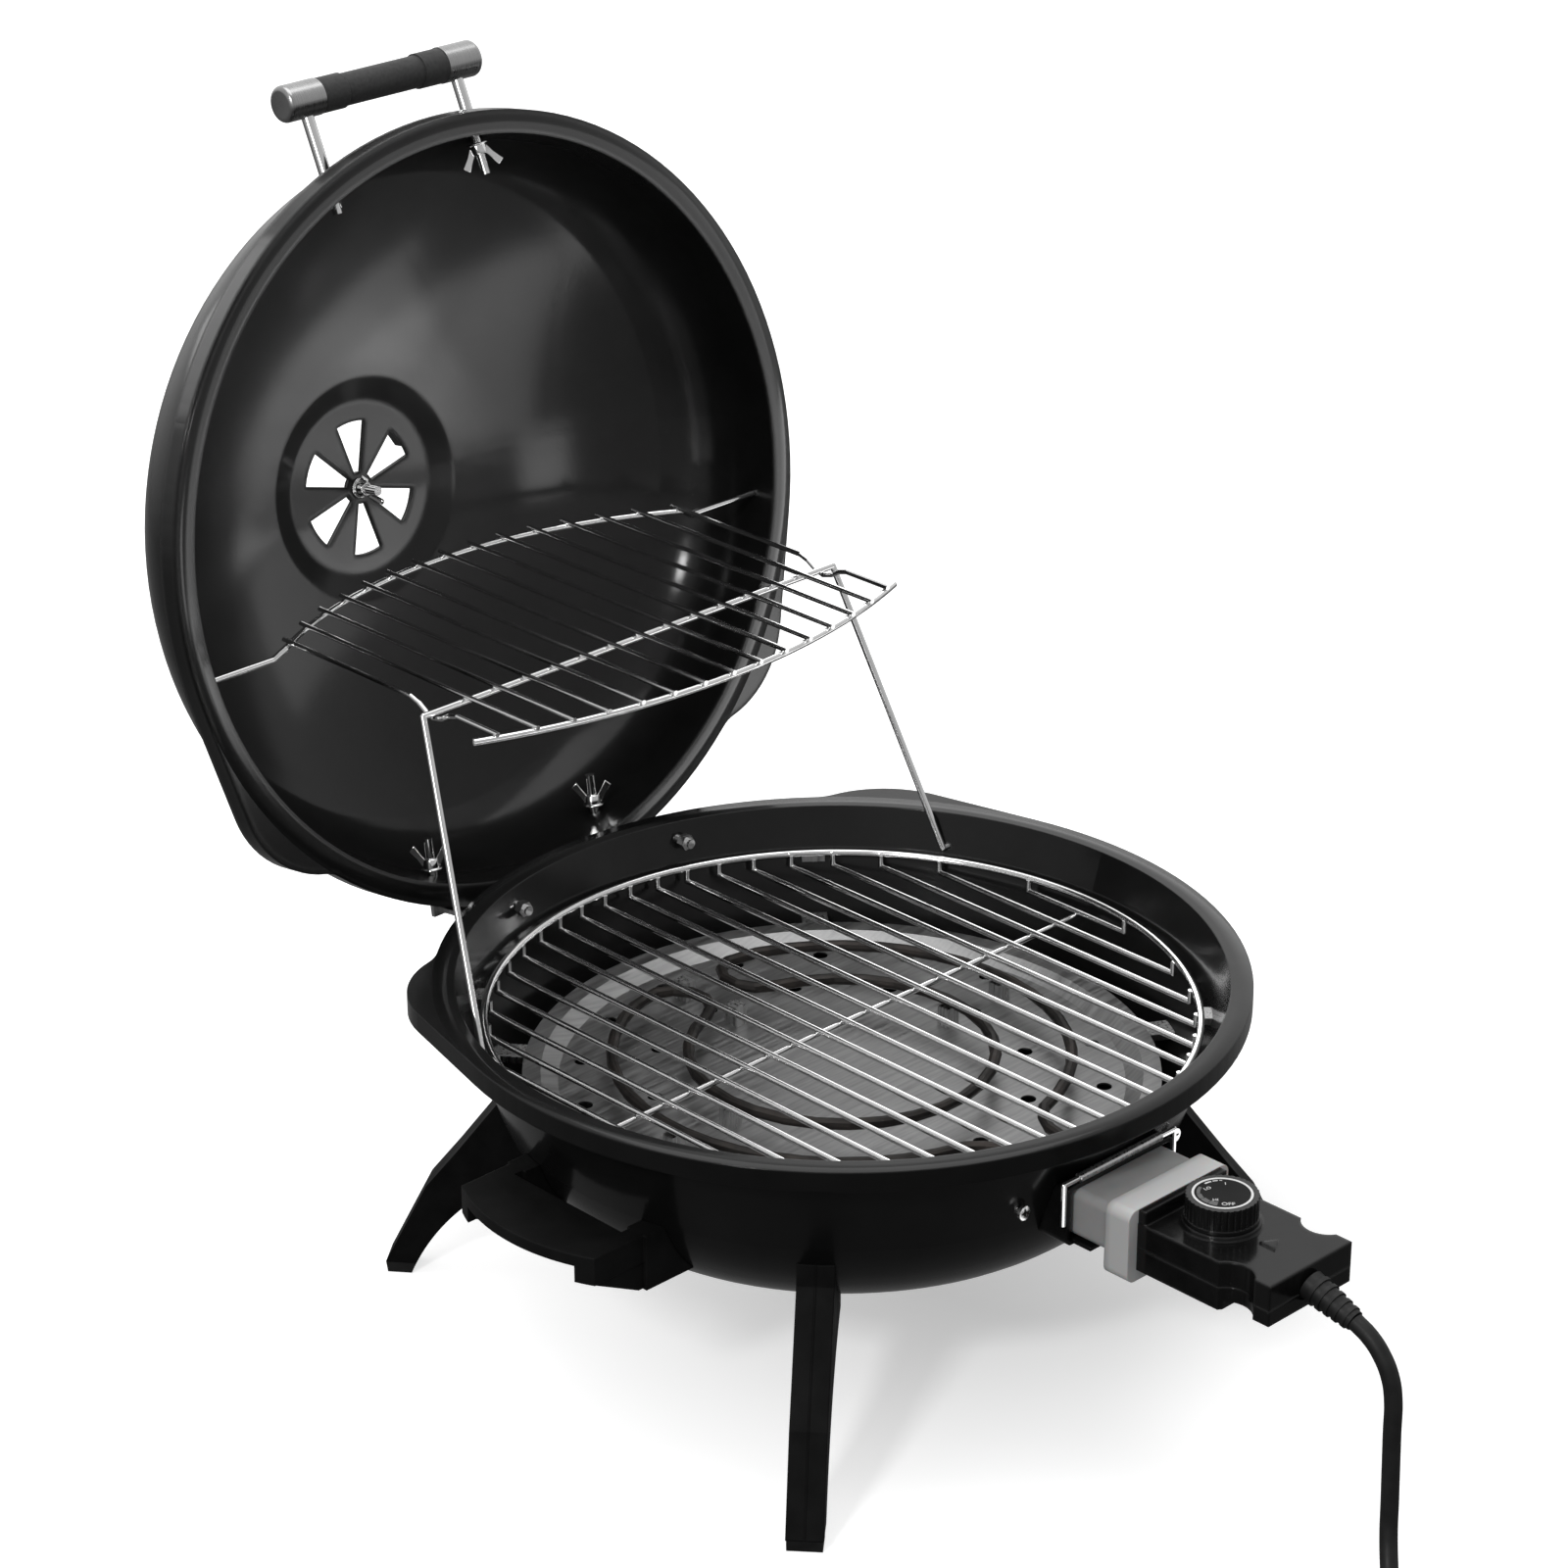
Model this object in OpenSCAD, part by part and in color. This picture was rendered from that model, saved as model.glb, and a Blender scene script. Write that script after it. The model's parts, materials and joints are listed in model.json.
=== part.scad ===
// Electric table grill: round bowl on four legs, hinged lid with a warming rack that swings out level.
// Millimetres. Origin on the table under the middle of the whole length, control box towards -Y, hinge towards +Y.
// Drawn with the lid open.

/* [Bowl] */
// Height of the rim above the table
rim_h = 214; // [208:1:222]
// Radius of the plain part of the rim
rim_r = 235; // [232:1:240]
// Width of the flat flange
flange_w = 13; // [12:0.5:14]
// Height of the turned-down edge of the bowl
skirt_h = 12; // [9:0.5:13]
// Depth of the bowl below the rim
bowl_depth = 133; // [128:1:136]
// Radius of the round between wall and floor
bowl_corner_r = 95; // [88:1:100]
// Slope of the wall, in degrees
wall_taper = 18.5; // [17:0.5:20]
// Thickness of the pressed sheet
sheet = 1.6; // [1.2:0.1:2]

/* [Rim lobes] */
// Direction of the lobes, in degrees behind the X axis
lobe_az = 37; // [34:1:40]
// Radius of the lobe's tip
lobe_r = 60; // [50:1:70]
// How far the lobes stand out past the plain rim
lobe_out = 14.5; // [8:0.5:16]
// Radius of the hollow behind each lobe
lobe_blend_r = 25; // [15:1:30]

/* [Lid] */
// Angle by which the lid is open, in degrees
lid_angle = 98.8; // [95:0.1:104]
// Gap between the closed rims
lid_gap = 1.2; // [1:0.1:2]
// How far the lid's rim stands out past the bowl's
lid_over = 4; // [2:0.5:5]
// Width of the lid's flat flange
lid_flange_w = 14; // [13:0.5:15]
// Height of the lid's straight wall
lid_wall_h = 24; // [22:1:28]
// Inner radius of the lid's shoulder
lid_side_r = 66; // [62:1:74]
// Inner depth of the lid at its crown
lid_depth = 135.4; // [130:0.2:140]
// Height of the turned-back edge of the lid
lid_skirt_h = 14; // [10:0.5:18]
// Radius of the flat crown
crown_r = 54; // [52:1:58]
// Width of the sloping step around the crown
crown_step_w = 16; // [12:1:20]

/* [Hinge] */
// Distance of the hinge axis inside the rim radius
hinge_in = 5; // [4:0.5:5.5]
// Depth of the hinge axis below the rim
hinge_drop = 24; // [23:0.5:25]
// Distance of each hinge from the middle
hinge_x = 66; // [60:1:72]
// Width of a hinge bracket
hinge_w = 26; // [22:1:30]
// Radius of a hinge knuckle
knuckle_r = 4.5; // [4:0.1:5]
// Radius of a hinge pin
pin_r = 2.2; // [1.8:0.1:2.6]

/* [Lid handle] */
// Half length of the handle bar
bar_half = 73; // [70:1:80]
// Radius of the handle bar
bar_r = 11; // [9:0.5:12]
// Length of each metal end cap
cap_len = 26; // [24:1:28]
// Distance of the bar in front of the rim
bar_out = 22; // [18:1:26]
// Height of the bar above the lid's rim
bar_up = 62; // [58:1:66]
// Distance of each post from the middle
post_x = 57; // [55:1:60]
// Slope of the posts, in degrees
post_tilt = 16; // [12:1:20]
// Radius of a post
post_r = 3.8; // [3.5:0.1:5]

/* [Vent] */
// Number of openings
vent_n = 6; // [4:1:8]
// Angle of one opening, in degrees
vent_open = 30; // [20:1:30]
// Outer radius of the openings
vent_r = 42; // [36:1:44]
// Inner radius of the openings
vent_in_r = 10; // [9:0.5:14]
// Radius of the turning damper disc
damper_r = 50; // [47:1:51]

/* [Warming rack] */
// Number of bars
rack_n = 15; // [11:2:15]
// Distance between bars
rack_pitch = 22; // [20:0.5:22]
// Distance of the rack's pivot behind the middle of the closed lid
rack_back = 47.1; // [44:0.1:52]
// Height of the rack's pivot in the closed lid
rack_up = 19.3; // [18:0.1:20]
// Distance from the rack's pivot to the bail's cross bar
rack_reach = 130; // [122:1:136]
// Rise of the rack above its pivot
rack_crank = 5; // [4:0.5:6]
// Radius of the rack's border wires and of the bail
wire_r = 2; // [1.8:0.1:2.2]
// Radius of the rack's bars
bar_wire_r = 1.5; // [1.3:0.1:1.7]

/* [Cooking grate] */
// Distance of the grate's ring inside the rim
grate_in = 29; // [28.5:0.5:32]
// Depth of the ring below the rim
grate_drop = 24.5; // [24.5:0.5:27]
// Distance between the rods
rod_pitch = 20; // [18:0.5:24]
// Radius of the rods
rod_r = 1.8; // [1.6:0.1:2]
// Radius of the ring's wire
ring_r = 2.2; // [2:0.1:2.4]

/* [Heating] */
// Distance of the reflector pan's edge inside the rim
pan_in = 50; // [49:1:57]
// Depth of the pan's edge below the rim
pan_drop = 62; // [61:0.5:63]
// Distance of the outer heating loop inside the rim
loop_in = 102; // [99:1:107]
// Distance between the two heating loops
loop_gap = 44; // [41:1:49]
// Radius of the heating tube
element_r = 3.5; // [3:0.1:4]
// Depth of the heating tube below the rim
element_drop = 52; // [51:0.5:53]

/* [Socket] */
// Half width of the socket box
socket_w = 43; // [42:0.5:45]
// Depth of the socket box top below the rim
socket_top = 39; // [38.5:0.5:39.5]
// Height of the socket box
socket_h = 36; // [35.5:0.5:38]
// Distance of the socket mouth inside the rim
socket_in = 19; // [16:0.5:20]

/* [Control] */
// Half width of the control case
case_w = 33.5; // [32:0.5:35]
// Length of the control case
case_len = 92.5; // [90:0.5:96]
// Radius of the knob
knob_r = 20; // [17:0.5:21]
// Height of the knob
knob_h = 14.5; // [12:0.5:17]
// Number of flutes around the knob
flute_n = 36; // [24:1:40]

/* [Cord] */
// Radius of the cord
cord_r = 5; // [4.5:0.1:5]
// Radius of the coil at the middle of its turns
coil_r = 55; // [52:1:60]

/* [Legs and side handles] */
// How far the feet stand out past the rim
foot_out = 36; // [31:1:41]
// Width of a leg
leg_w = 21; // [18:0.5:23]
// Direction of the front legs, in degrees from the front
leg_front = 49; // [46:1:52]
// Direction of the rear legs, in degrees from the front
leg_rear = 141; // [138:1:144]
// How far a side handle stands out past the rim
side_out = 21; // [15:1:27]
// Half length of a side handle
side_half = 55; // [50:1:58]

/* [Hidden] */
$fn = 64;

// Radial play of turning fits, gap between parts that pass each other, and reach of cutting solids
play = 0.05;
gap = 0.3;
past = 30;
// Distance of the bowl's middle in front of the middle of the whole length
mid_y = 46;
enamel = [0.03, 0.03, 0.035];
plastic = [0.06, 0.06, 0.065];
chrome = [0.78, 0.79, 0.8];
steel = [0.66, 0.66, 0.67];
frost = [0.72, 0.73, 0.75];

function polar(r, a) = [r * cos(a), r * sin(a)];
function azimuth(v) = atan2(v[1], v[0]);
function unit(v) = v / norm(v);

// Bowl section: wall line of slope wall_taper, tangent to a round that is tangent to the flat floor
well_r = rim_r - flange_w;
inner_round = bowl_corner_r - sheet;
round_z = bowl_corner_r - bowl_depth;
round_r = well_r - (inner_round - round_z * sin(wall_taper)) / cos(wall_taper);
function wall_r(z, o) = well_r + z * tan(wall_taper) + o / cos(wall_taper);

// Rim outline: circle, lobe circle, common tangent in front of the lobe, hollow blend behind it
lobe_d = rim_r + lobe_out - lobe_r;
tan_az = lobe_az - acos((rim_r - lobe_r) / lobe_d);
blend_d = rim_r + lobe_blend_r;
blend_az = lobe_az + acos((blend_d ^ 2 + lobe_d ^ 2 - (lobe_r + lobe_blend_r) ^ 2) / (2 * blend_d * lobe_d));
lobe_c = polar(lobe_d, lobe_az);
blend_c = polar(blend_d, blend_az);

// Lid section: straight wall, shoulder of lid_side_r, and a shallow top arc that meets the shoulder
// a few degrees further out than an arc touching it would
lid_well = rim_r + lid_over - lid_flange_w;
side_c = [lid_well - lid_side_r, lid_wall_h];
rise = lid_depth - lid_wall_h;
touch_r = (side_c[0] ^ 2 + rise ^ 2 - lid_side_r ^ 2) / (2 * (rise - lid_side_r));
touch_a = atan2(side_c[0], side_c[1] - lid_depth + touch_r);
crease = 4;
shoulder_end = side_c + lid_side_r * [sin(touch_a + crease), cos(touch_a + crease)];
sag = lid_depth - shoulder_end[1];
top_r = (shoulder_end[0] ^ 2 + sag ^ 2) / (2 * sag);
top_z = lid_depth - top_r;
crown_foot_r = crown_r + crown_step_w;
crown_foot_z = top_z + sqrt(top_r ^ 2 - crown_foot_r ^ 2);
crown_slope = atan((lid_depth - crown_foot_z) / crown_step_w);
crown_end = [crown_foot_r, crown_foot_z] + 20 * [cos(crown_slope), -sin(crown_slope)];

// Hinge and rack pivots, as [y, z] with z measured from the rim: the four pivots form a parallelogram
hinge = [rim_r - hinge_in, -hinge_drop];
function lid_turn(v) = [v[0] * cos(lid_angle) + v[1] * sin(lid_angle),
    v[1] * cos(lid_angle) - v[0] * sin(lid_angle)];
rack_pivot = hinge + lid_turn([rack_back, rack_up + lid_gap] - hinge);
bar_lift = wire_r + bar_wire_r - 0.5;
hook_gap = 0.4;
bail_drop = wire_r + bar_wire_r + hook_gap - bar_lift - rack_crank;
bail_top = rack_pivot + [-rack_reach, -bail_drop];
bail_foot = hinge + [-rack_reach, -bail_drop];
bail_half = (rack_n - 1) / 2 * rack_pitch + 8;
wall_x = sqrt(wall_r(bail_foot[1], 0) ^ 2 - bail_foot[0] ^ 2);
bail_foot_x = wall_x - wire_r - 1.2;
lid_wall_x = sqrt((lid_well + sheet) ^ 2 - rack_back ^ 2);

// Lid handle
function lid_in_r(z) = side_c[0] + sqrt(lid_side_r ^ 2 - max(0, z - lid_wall_h) ^ 2);
bar_y = -rim_r - bar_out;
stud_r = 2.9;
post_len = (-bar_y - sqrt((lid_in_r(bar_up - 12) + sheet) ^ 2 - post_x ^ 2)) / cos(post_tilt);
stud_len = post_len + 24;
nut_seat = post_len + 5;
hinge_bolt_z = 29;
hinge_nut_y = sqrt(lid_in_r(hinge_bolt_z + 8.5) ^ 2 - (hinge_x + 8.5) ^ 2) - 0.2;
bowl_bolt_z = -10;
bowl_pad_y = rim_r - 18;

// Grate and heating
grate_r = rim_r - grate_in;
pan_r = rim_r - pan_in;
loop_r = rim_r - loop_in;
inner_loop_r = loop_r - loop_gap;
rod_z = -grate_drop - 7.5;
rod_end_r = grate_r - ring_r;
terminal_x = 15;
pan_t = 1;
pan_floor = pan_drop + 6;

// Socket and control: y positions are distances towards the front
socket_y = rim_r - socket_in;
screw_x = 61.5;
screw_drop = 52;
screw_y = sqrt(wall_r(-screw_drop, sheet) ^ 2 - screw_x ^ 2);
socket_t = 2.5;
shroud_half = socket_w - 6;
shroud_top = 42;
shroud_h = 32;
shroud_in_y = wall_r(-shroud_top, sheet) + 1;
collar_y = socket_y + 25;
collar_t = 17;
case_y = collar_y + collar_t;
case_end = case_y + case_len;
case_top = 46;
case_split = 61;
case_low = 75;
block_len = 12.5;
waist_y = case_end - block_len - 21;
knob_y = case_y + 30;
boss_r = knob_r + 2;
boss_h = 2.5;

// Cord route, in plan along the front axis and then along run_dir on the table
exit_p = [0, -case_end - mid_y, rim_h - 58];
relief_len = 32;
relief_dip = 17;
run_az = 225.7;
bend_r = 40;
fall_r = 45;
relief_end = exit_p + [0, -relief_len * cos(relief_dip), -relief_len * sin(relief_dip)];
function bend_p(a) = relief_end + bend_r * [0, sin(relief_dip) - sin(a), cos(a) - cos(relief_dip)];
bend_end = bend_p(85);
fall_p = bend_end + [-4, -5.3, fall_r + cord_r - bend_end[2]];
function turn_p(b) = [fall_p[0] + fall_r * (1 - cos(b)) * cos(run_az),
    fall_p[1] + fall_r * (1 - cos(b)) * sin(run_az), fall_p[2] - fall_r * sin(b)];
run_len = 65;
lap = 25;
coil_in = turn_p(90) + run_len * [cos(run_az), sin(run_az), 0];
coil_c = [coil_in[0] + coil_r * cos(run_az - 90), coil_in[1] + coil_r * sin(run_az - 90), 0];
cord_route = concat([relief_end], [for (a = [34, 51, 68, 85]) bend_p(a)],
    [for (t = [0.33, 0.67, 1]) bend_end + t * (fall_p - bend_end)],
    [for (b = [18, 36, 54, 72, 90]) turn_p(b)], [coil_in - lap * [cos(run_az), sin(run_az), 0]]);
tail_az = run_az - 90;
tail_in = coil_c + coil_r * [cos(run_az), sin(run_az), 0] + [0, 0, cord_r];
tail_len = 65;
plug_z = 11;
plug_in = [tail_in[0] + tail_len * cos(tail_az), tail_in[1] + tail_len * sin(tail_az), plug_z];
tail_route = [for (t = [lap / tail_len, 0.6, 0.8, 1]) tail_in + [t * tail_len * cos(tail_az),
    t * tail_len * sin(tail_az), (plug_z - cord_r) * t ^ 2 * (3 - 2 * t)]];

// Legs and side handles, as [r, z] with z measured from the rim; they start well inside the bowl's wall
foot_r = rim_r + foot_out;
side_reach = rim_r + side_out;
inside_r = rim_r - 85;
hip_r = rim_r - 36;
hip_z = -92;
leg_arc_c = [foot_r - 136, -rim_h - 49];
leg_arc_r = 131;
foot_h = 7;

// Places things measured from the rim, and things drawn in the closed lid's own frame
module at_rim() {
    translate([0, -mid_y, rim_h]) children();
}

module on_lid() {
    translate([0, hinge[0] - mid_y, rim_h + hinge[1]])
        rotate([-lid_angle, 0, 0])
            translate([0, -hinge[0], lid_gap - hinge[1]])
                children();
}

module both_sides() {
    children();
    mirror([1, 0, 0]) children();
}

// Round rod between two points, turned about its own axis
module rod(p, q, r, turn = 0) {
    v = q - p;
    translate(p)
        rotate([0, acos(v[2] / norm(v)), azimuth(v)])
            rotate(turn) cylinder(h = norm(v), r = r);
}

// Box from corner p to corner q
module block(p, q) {
    translate(p) cube(q - p);
}

// Rounded rectangle between two corners
module round_rect(p, q, r) {
    translate([p[0] + r, p[1]]) square([q[0] - p[0] - 2 * r, q[1] - p[1]]);
    translate([p[0], p[1] + r]) square([q[0] - p[0], q[1] - p[1] - 2 * r]);
    for (x = [p[0] + r, q[0] - r], y = [p[1] + r, q[1] - r]) translate([x, y]) circle(r = r);
}

// Extrudes a front view (x to the right, y up) from y0 to y1, both measured towards the front
module front_view(y0, y1) {
    translate([0, -y0, 0]) rotate([90, 0, 0]) linear_extrude(y1 - y0) children();
}

// Tube of flat sides swept along a route; ref is a direction the route never follows
module tube(route, r, sides, ref) {
    n = len(route);
    dirs = [for (i = [0:n - 1]) unit(route[min(i + 1, n - 1)] - route[max(i - 1, 0)])];
    us = [for (d = dirs) unit(cross(d, ref))];
    pts = [for (i = [0:n - 1], k = [0:sides - 1])
        route[i] + r * (cos(360 * k / sides) * us[i] + sin(360 * k / sides) * cross(us[i], dirs[i]))];
    quads = [for (i = [0:n - 2], k = [0:sides - 1])
        [i * sides + k, i * sides + (k + 1) % sides, (i + 1) * sides + (k + 1) % sides, (i + 1) * sides + k]];
    start = [for (k = [0:sides - 1]) sides - 1 - k];
    end = [for (k = [0:sides - 1]) (n - 1) * sides + k];
    polyhedron(pts, concat([start], quads, [end]));
}

// Plan of the rim, drawn inset by i
module rim_plan(i = 0) {
    circle(r = rim_r - i, $fn = 128);
    for (m = [0, 1]) mirror([m, 0]) {
        translate(lobe_c) circle(r = lobe_r - i);
        polygon([[0, 0], polar(rim_r - i, tan_az), lobe_c + polar(lobe_r - i, tan_az), lobe_c]);
        difference() {
            polygon([[0, 0], lobe_c, blend_c]);
            translate(blend_c) circle(r = lobe_blend_r + i);
        }
    }
}

// Half section of the bowl's inside, grown by o
module bowl_half(o) {
    foot = [round_r, round_z - inner_round - o];
    side = [round_r, round_z] + (inner_round + o) * [cos(wall_taper), -sin(wall_taper)];
    translate([round_r, round_z]) intersection() {
        circle(r = inner_round + o, $fn = 128);
        polygon(3 * bowl_corner_r * [[0, 0], [1, 0], [1, -1], [-0.2, -1]]);
    }
    polygon([[0, 0], [wall_r(0, o), 0], side, [round_r, round_z], foot, [0, foot[1]]]);
}

module bowl_fill(o) {
    rotate_extrude($fn = 128) bowl_half(o);
}

// Half section of the lid's inside, grown by o
module lid_half(o) {
    intersection() {
        translate([0, top_z]) circle(r = top_r + o, $fn = 128);
        union() {
            square([lid_well + o, lid_wall_h]);
            square([side_c[0] + lid_side_r * sin(touch_a), lid_depth + past]);
            translate(side_c) intersection() {
                circle(r = lid_side_r + o, $fn = 128);
                translate([0, -lid_wall_h / 2]) square(2 * lid_side_r);
            }
        }
    }
    polygon([[0, 0], [0, lid_depth + o], [crown_r + o * tan(crown_slope / 2), lid_depth + o],
        crown_end + o * [sin(crown_slope), cos(crown_slope)], [crown_end[0], 0]]);
}

module lid_fill(o) {
    rotate_extrude($fn = 128) lid_half(o);
}

// Pressed bowl with lobed flange and turned-down edge
module bowl() {
    color(enamel) at_rim() difference() {
        union() {
            rotate_extrude($fn = 128) difference() {
                bowl_half(sheet);
                bowl_half(0);
            }
            translate([0, 0, -sheet]) linear_extrude(sheet) difference() {
                rim_plan();
                circle(r = well_r, $fn = 128);
            }
            translate([0, 0, -skirt_h]) linear_extrude(skirt_h - sheet / 2) difference() {
                rim_plan();
                rim_plan(sheet);
            }
        }
        both_sides() {
            rod([wall_x - past, bail_foot[0], bail_foot[1]], [wall_x + past, bail_foot[0], bail_foot[1]],
                wire_r + 2 * play);
            rod([hinge_x, bowl_pad_y - past, bowl_bolt_z], [hinge_x, bowl_pad_y, bowl_bolt_z], stud_r + play);
            rod([screw_x, -screw_y - past, -screw_drop], [screw_x, -screw_y + past, -screw_drop], 2 + play);
            rod([terminal_x, -rim_r, -element_drop], [terminal_x, -pan_r, -element_drop], element_r + 1);
            side_bolt_holes();
        }
        rod([0, -rim_r, -element_drop], [0, -pan_r, -element_drop], element_r + 1);
        for (az = leg_azimuths()) rotate(az) leg_bolt_hole();
    }
}

// Pressed lid: dome, stepped crown with vent openings, lobed flange and turned-back edge
module lid() {
    color(enamel) on_lid() difference() {
        union() {
            rotate_extrude($fn = 128) difference() {
                lid_half(sheet);
                lid_half(0);
            }
            linear_extrude(sheet) difference() {
                rim_plan(-lid_over);
                circle(r = lid_well, $fn = 128);
            }
            translate([0, 0, sheet / 2]) linear_extrude(lid_skirt_h - sheet / 2) difference() {
                rim_plan(-lid_over);
                rim_plan(sheet - lid_over);
            }
        }
        translate([0, 0, lid_depth - sheet]) vent_cut(3 * sheet);
        translate([0, 0, lid_depth - past / 2]) cylinder(h = past, r = stud_r + play);
        both_sides() {
            rod([lid_wall_x - past, rack_back, rack_up], [lid_wall_x + past, rack_back, rack_up],
                wire_r + 2 * play);
            rod([hinge_x, rim_r, hinge_bolt_z], [hinge_x, rim_r - 2 * past, hinge_bolt_z], stud_r + play);
            post_line(post_len - past, post_len + past, stud_r + 0.3);
        }
    }
}

// Vent openings: ring sectors between vent_in_r and vent_r
module vent_cut(h) {
    for (k = [0:vent_n - 1]) rotate(k * 360 / vent_n - 90 - vent_open / 2)
        rotate_extrude(angle = vent_open) translate([vent_in_r, 0]) square([vent_r - vent_in_r, h]);
}

module vent_damper() {
    damper_t = 1.2;
    color(steel) on_lid() translate([0, 0, lid_depth + sheet + gap]) {
        difference() {
            cylinder(h = damper_t, r = damper_r);
            translate([0, 0, -damper_t]) vent_cut(3 * damper_t);
            translate([0, 0, -damper_t]) cylinder(h = 3 * damper_t, r = stud_r + play);
        }
        rotate(-30) block([vent_r + 2, -8, damper_t / 2], [vent_r + 3.5, 8, 12]);
    }
}

// Bolt through the crown, head outside, and its wing nut inside
module vent_bolt() {
    head_z = lid_depth + sheet + 2 * gap + 1.2;
    color(chrome) on_lid() {
        translate([0, 0, head_z]) cylinder(h = 3, r1 = 8, r2 = 5.5);
        translate([0, 0, lid_depth - 18]) cylinder(h = head_z + 1 - lid_depth + 18, r = stud_r);
    }
}

module vent_wing_nut() {
    color(chrome) on_lid() translate([0, 0, lid_depth]) rotate([180, 0, 25]) wing_nut();
}

// Wing nut with its washer, seat at z 0, bored for the stud
module wing_nut() {
    difference() {
        union() {
            cylinder(h = 1.4, r = 8.3);
            translate([0, 0, 1]) cylinder(h = 8, r1 = 6.2, r2 = 5);
            rotate([90, 0, 0]) translate([0, 0, -1.2]) linear_extrude(2.4) for (m = [0, 1]) mirror([m, 0]) {
                translate([10.5, 12]) circle(r = 4.5);
                polygon([[4, 1.6], [8, 2.5], [14.9, 11], [8, 15.7], [4, 7]]);
            }
        }
        translate([0, 0, -1]) cylinder(h = 12, r = stud_r + play);
    }
}

// Handle bar: grip with a collar at each end, between two metal caps
module handle_grip() {
    half = bar_half - cap_len;
    collar = 18;
    collar_r = bar_r - 0.4;
    waist_r = bar_r - 1.3;
    color(plastic) on_lid() translate([0, bar_y, bar_up]) rotate([0, 90, 0]) rotate_extrude()
        polygon([[0, -half], [collar_r, -half], [collar_r, collar - half], [waist_r, collar - half],
            [waist_r, half - collar], [collar_r, half - collar], [collar_r, half], [0, half]]);
}

module handle_cap() {
    edge = 3;
    color(steel) on_lid() translate([bar_half - cap_len, bar_y, bar_up]) rotate([0, 90, 0]) rotate_extrude() {
        square([bar_r, cap_len - edge]);
        square([bar_r - edge, cap_len]);
        translate([bar_r - edge, cap_len - edge]) circle(r = edge);
    }
}

module handle_cap_right() {
    handle_cap();
}

module handle_cap_left() {
    mirror([1, 0, 0]) handle_cap();
}

// Rod along the right post's line, from and to distances measured from the bar's axis
module post_line(from, to, r) {
    translate([post_x, bar_y, bar_up])
        rotate([-90 - post_tilt, 0, 0])
            translate([0, 0, from]) cylinder(h = to - from, r = r);
}

module handle_post() {
    color(chrome) on_lid() {
        difference() {
            post_line(bar_r - 2, post_len + 8, post_r);
            lid_fill(sheet);
            translate([0, bar_y, bar_up]) rod([0, 0, 0], [bar_half, 0, 0], bar_r);
        }
        post_line(post_len - 8, stud_len, stud_r);
    }
}

module handle_post_right() {
    handle_post();
}

module handle_post_left() {
    mirror([1, 0, 0]) handle_post();
}

module handle_wing_nuts() {
    color(chrome) on_lid() both_sides() translate([post_x, bar_y, bar_up])
        rotate([-90 - post_tilt, 0, 0])
            translate([0, 0, nut_seat]) rotate(70) wing_nut();
}

// Hinge bracket on the bowl: pad on the wall, arm under the rim, two knuckles with a slot between
module hinge_bowl_bracket() {
    slot = hinge_w / 2 - 2;
    low = hinge[1] - 1;
    color(steel) at_rim() difference() {
        translate([hinge_x, 0, 0]) difference() {
            union() {
                block([-hinge_w / 2, bowl_pad_y - 26, low], [hinge_w / 2, bowl_pad_y, -3]);
                block([-hinge_w / 2, bowl_pad_y - 2, low], [hinge_w / 2, hinge[0], low + 4.5]);
                rod([-hinge_w / 2, hinge[0], hinge[1]], [hinge_w / 2, hinge[0], hinge[1]], knuckle_r);
            }
            rod([-slot / 2, hinge[0], hinge[1]], [slot / 2, hinge[0], hinge[1]], knuckle_r + 3);
            rod([-hinge_w, hinge[0], hinge[1]], [hinge_w, hinge[0], hinge[1]], pin_r + play);
            rod([0, 0, bowl_bolt_z], [0, rim_r, bowl_bolt_z], stud_r + play);
        }
        bowl_fill(sheet);
    }
}

module hinge_bowl_bracket_right() {
    hinge_bowl_bracket();
}

module hinge_bowl_bracket_left() {
    mirror([1, 0, 0]) hinge_bowl_bracket();
}

module hinge_bowl_bolts() {
    nut_y = sqrt(wall_r(bowl_bolt_z - 5, 0) ^ 2 - (hinge_x + 5) ^ 2) - 0.2;
    color(chrome) at_rim() both_sides() translate([hinge_x, 0, bowl_bolt_z]) {
        rod([0, bowl_pad_y, 0], [0, bowl_pad_y + 3.5, 0], 5);
        rod([0, nut_y - 8, 0], [0, bowl_pad_y + 1, 0], stud_r);
        rotate([90, 0, 0]) translate([0, 0, -nut_y]) cylinder(h = 5, r = 5, $fn = 6);
    }
}

module hinge_pin() {
    color(chrome) at_rim() translate([hinge_x, hinge[0], hinge[1]]) {
        rod([-hinge_w / 2 - 1, 0, 0], [hinge_w / 2 + 1, 0, 0], pin_r);
        both_sides() rod([hinge_w / 2, 0, 0], [hinge_w / 2 + 1.6, 0, 0], pin_r + 1.6);
    }
}

module hinge_pin_right() {
    hinge_pin();
}

module hinge_pin_left() {
    mirror([1, 0, 0]) hinge_pin();
}

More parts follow.
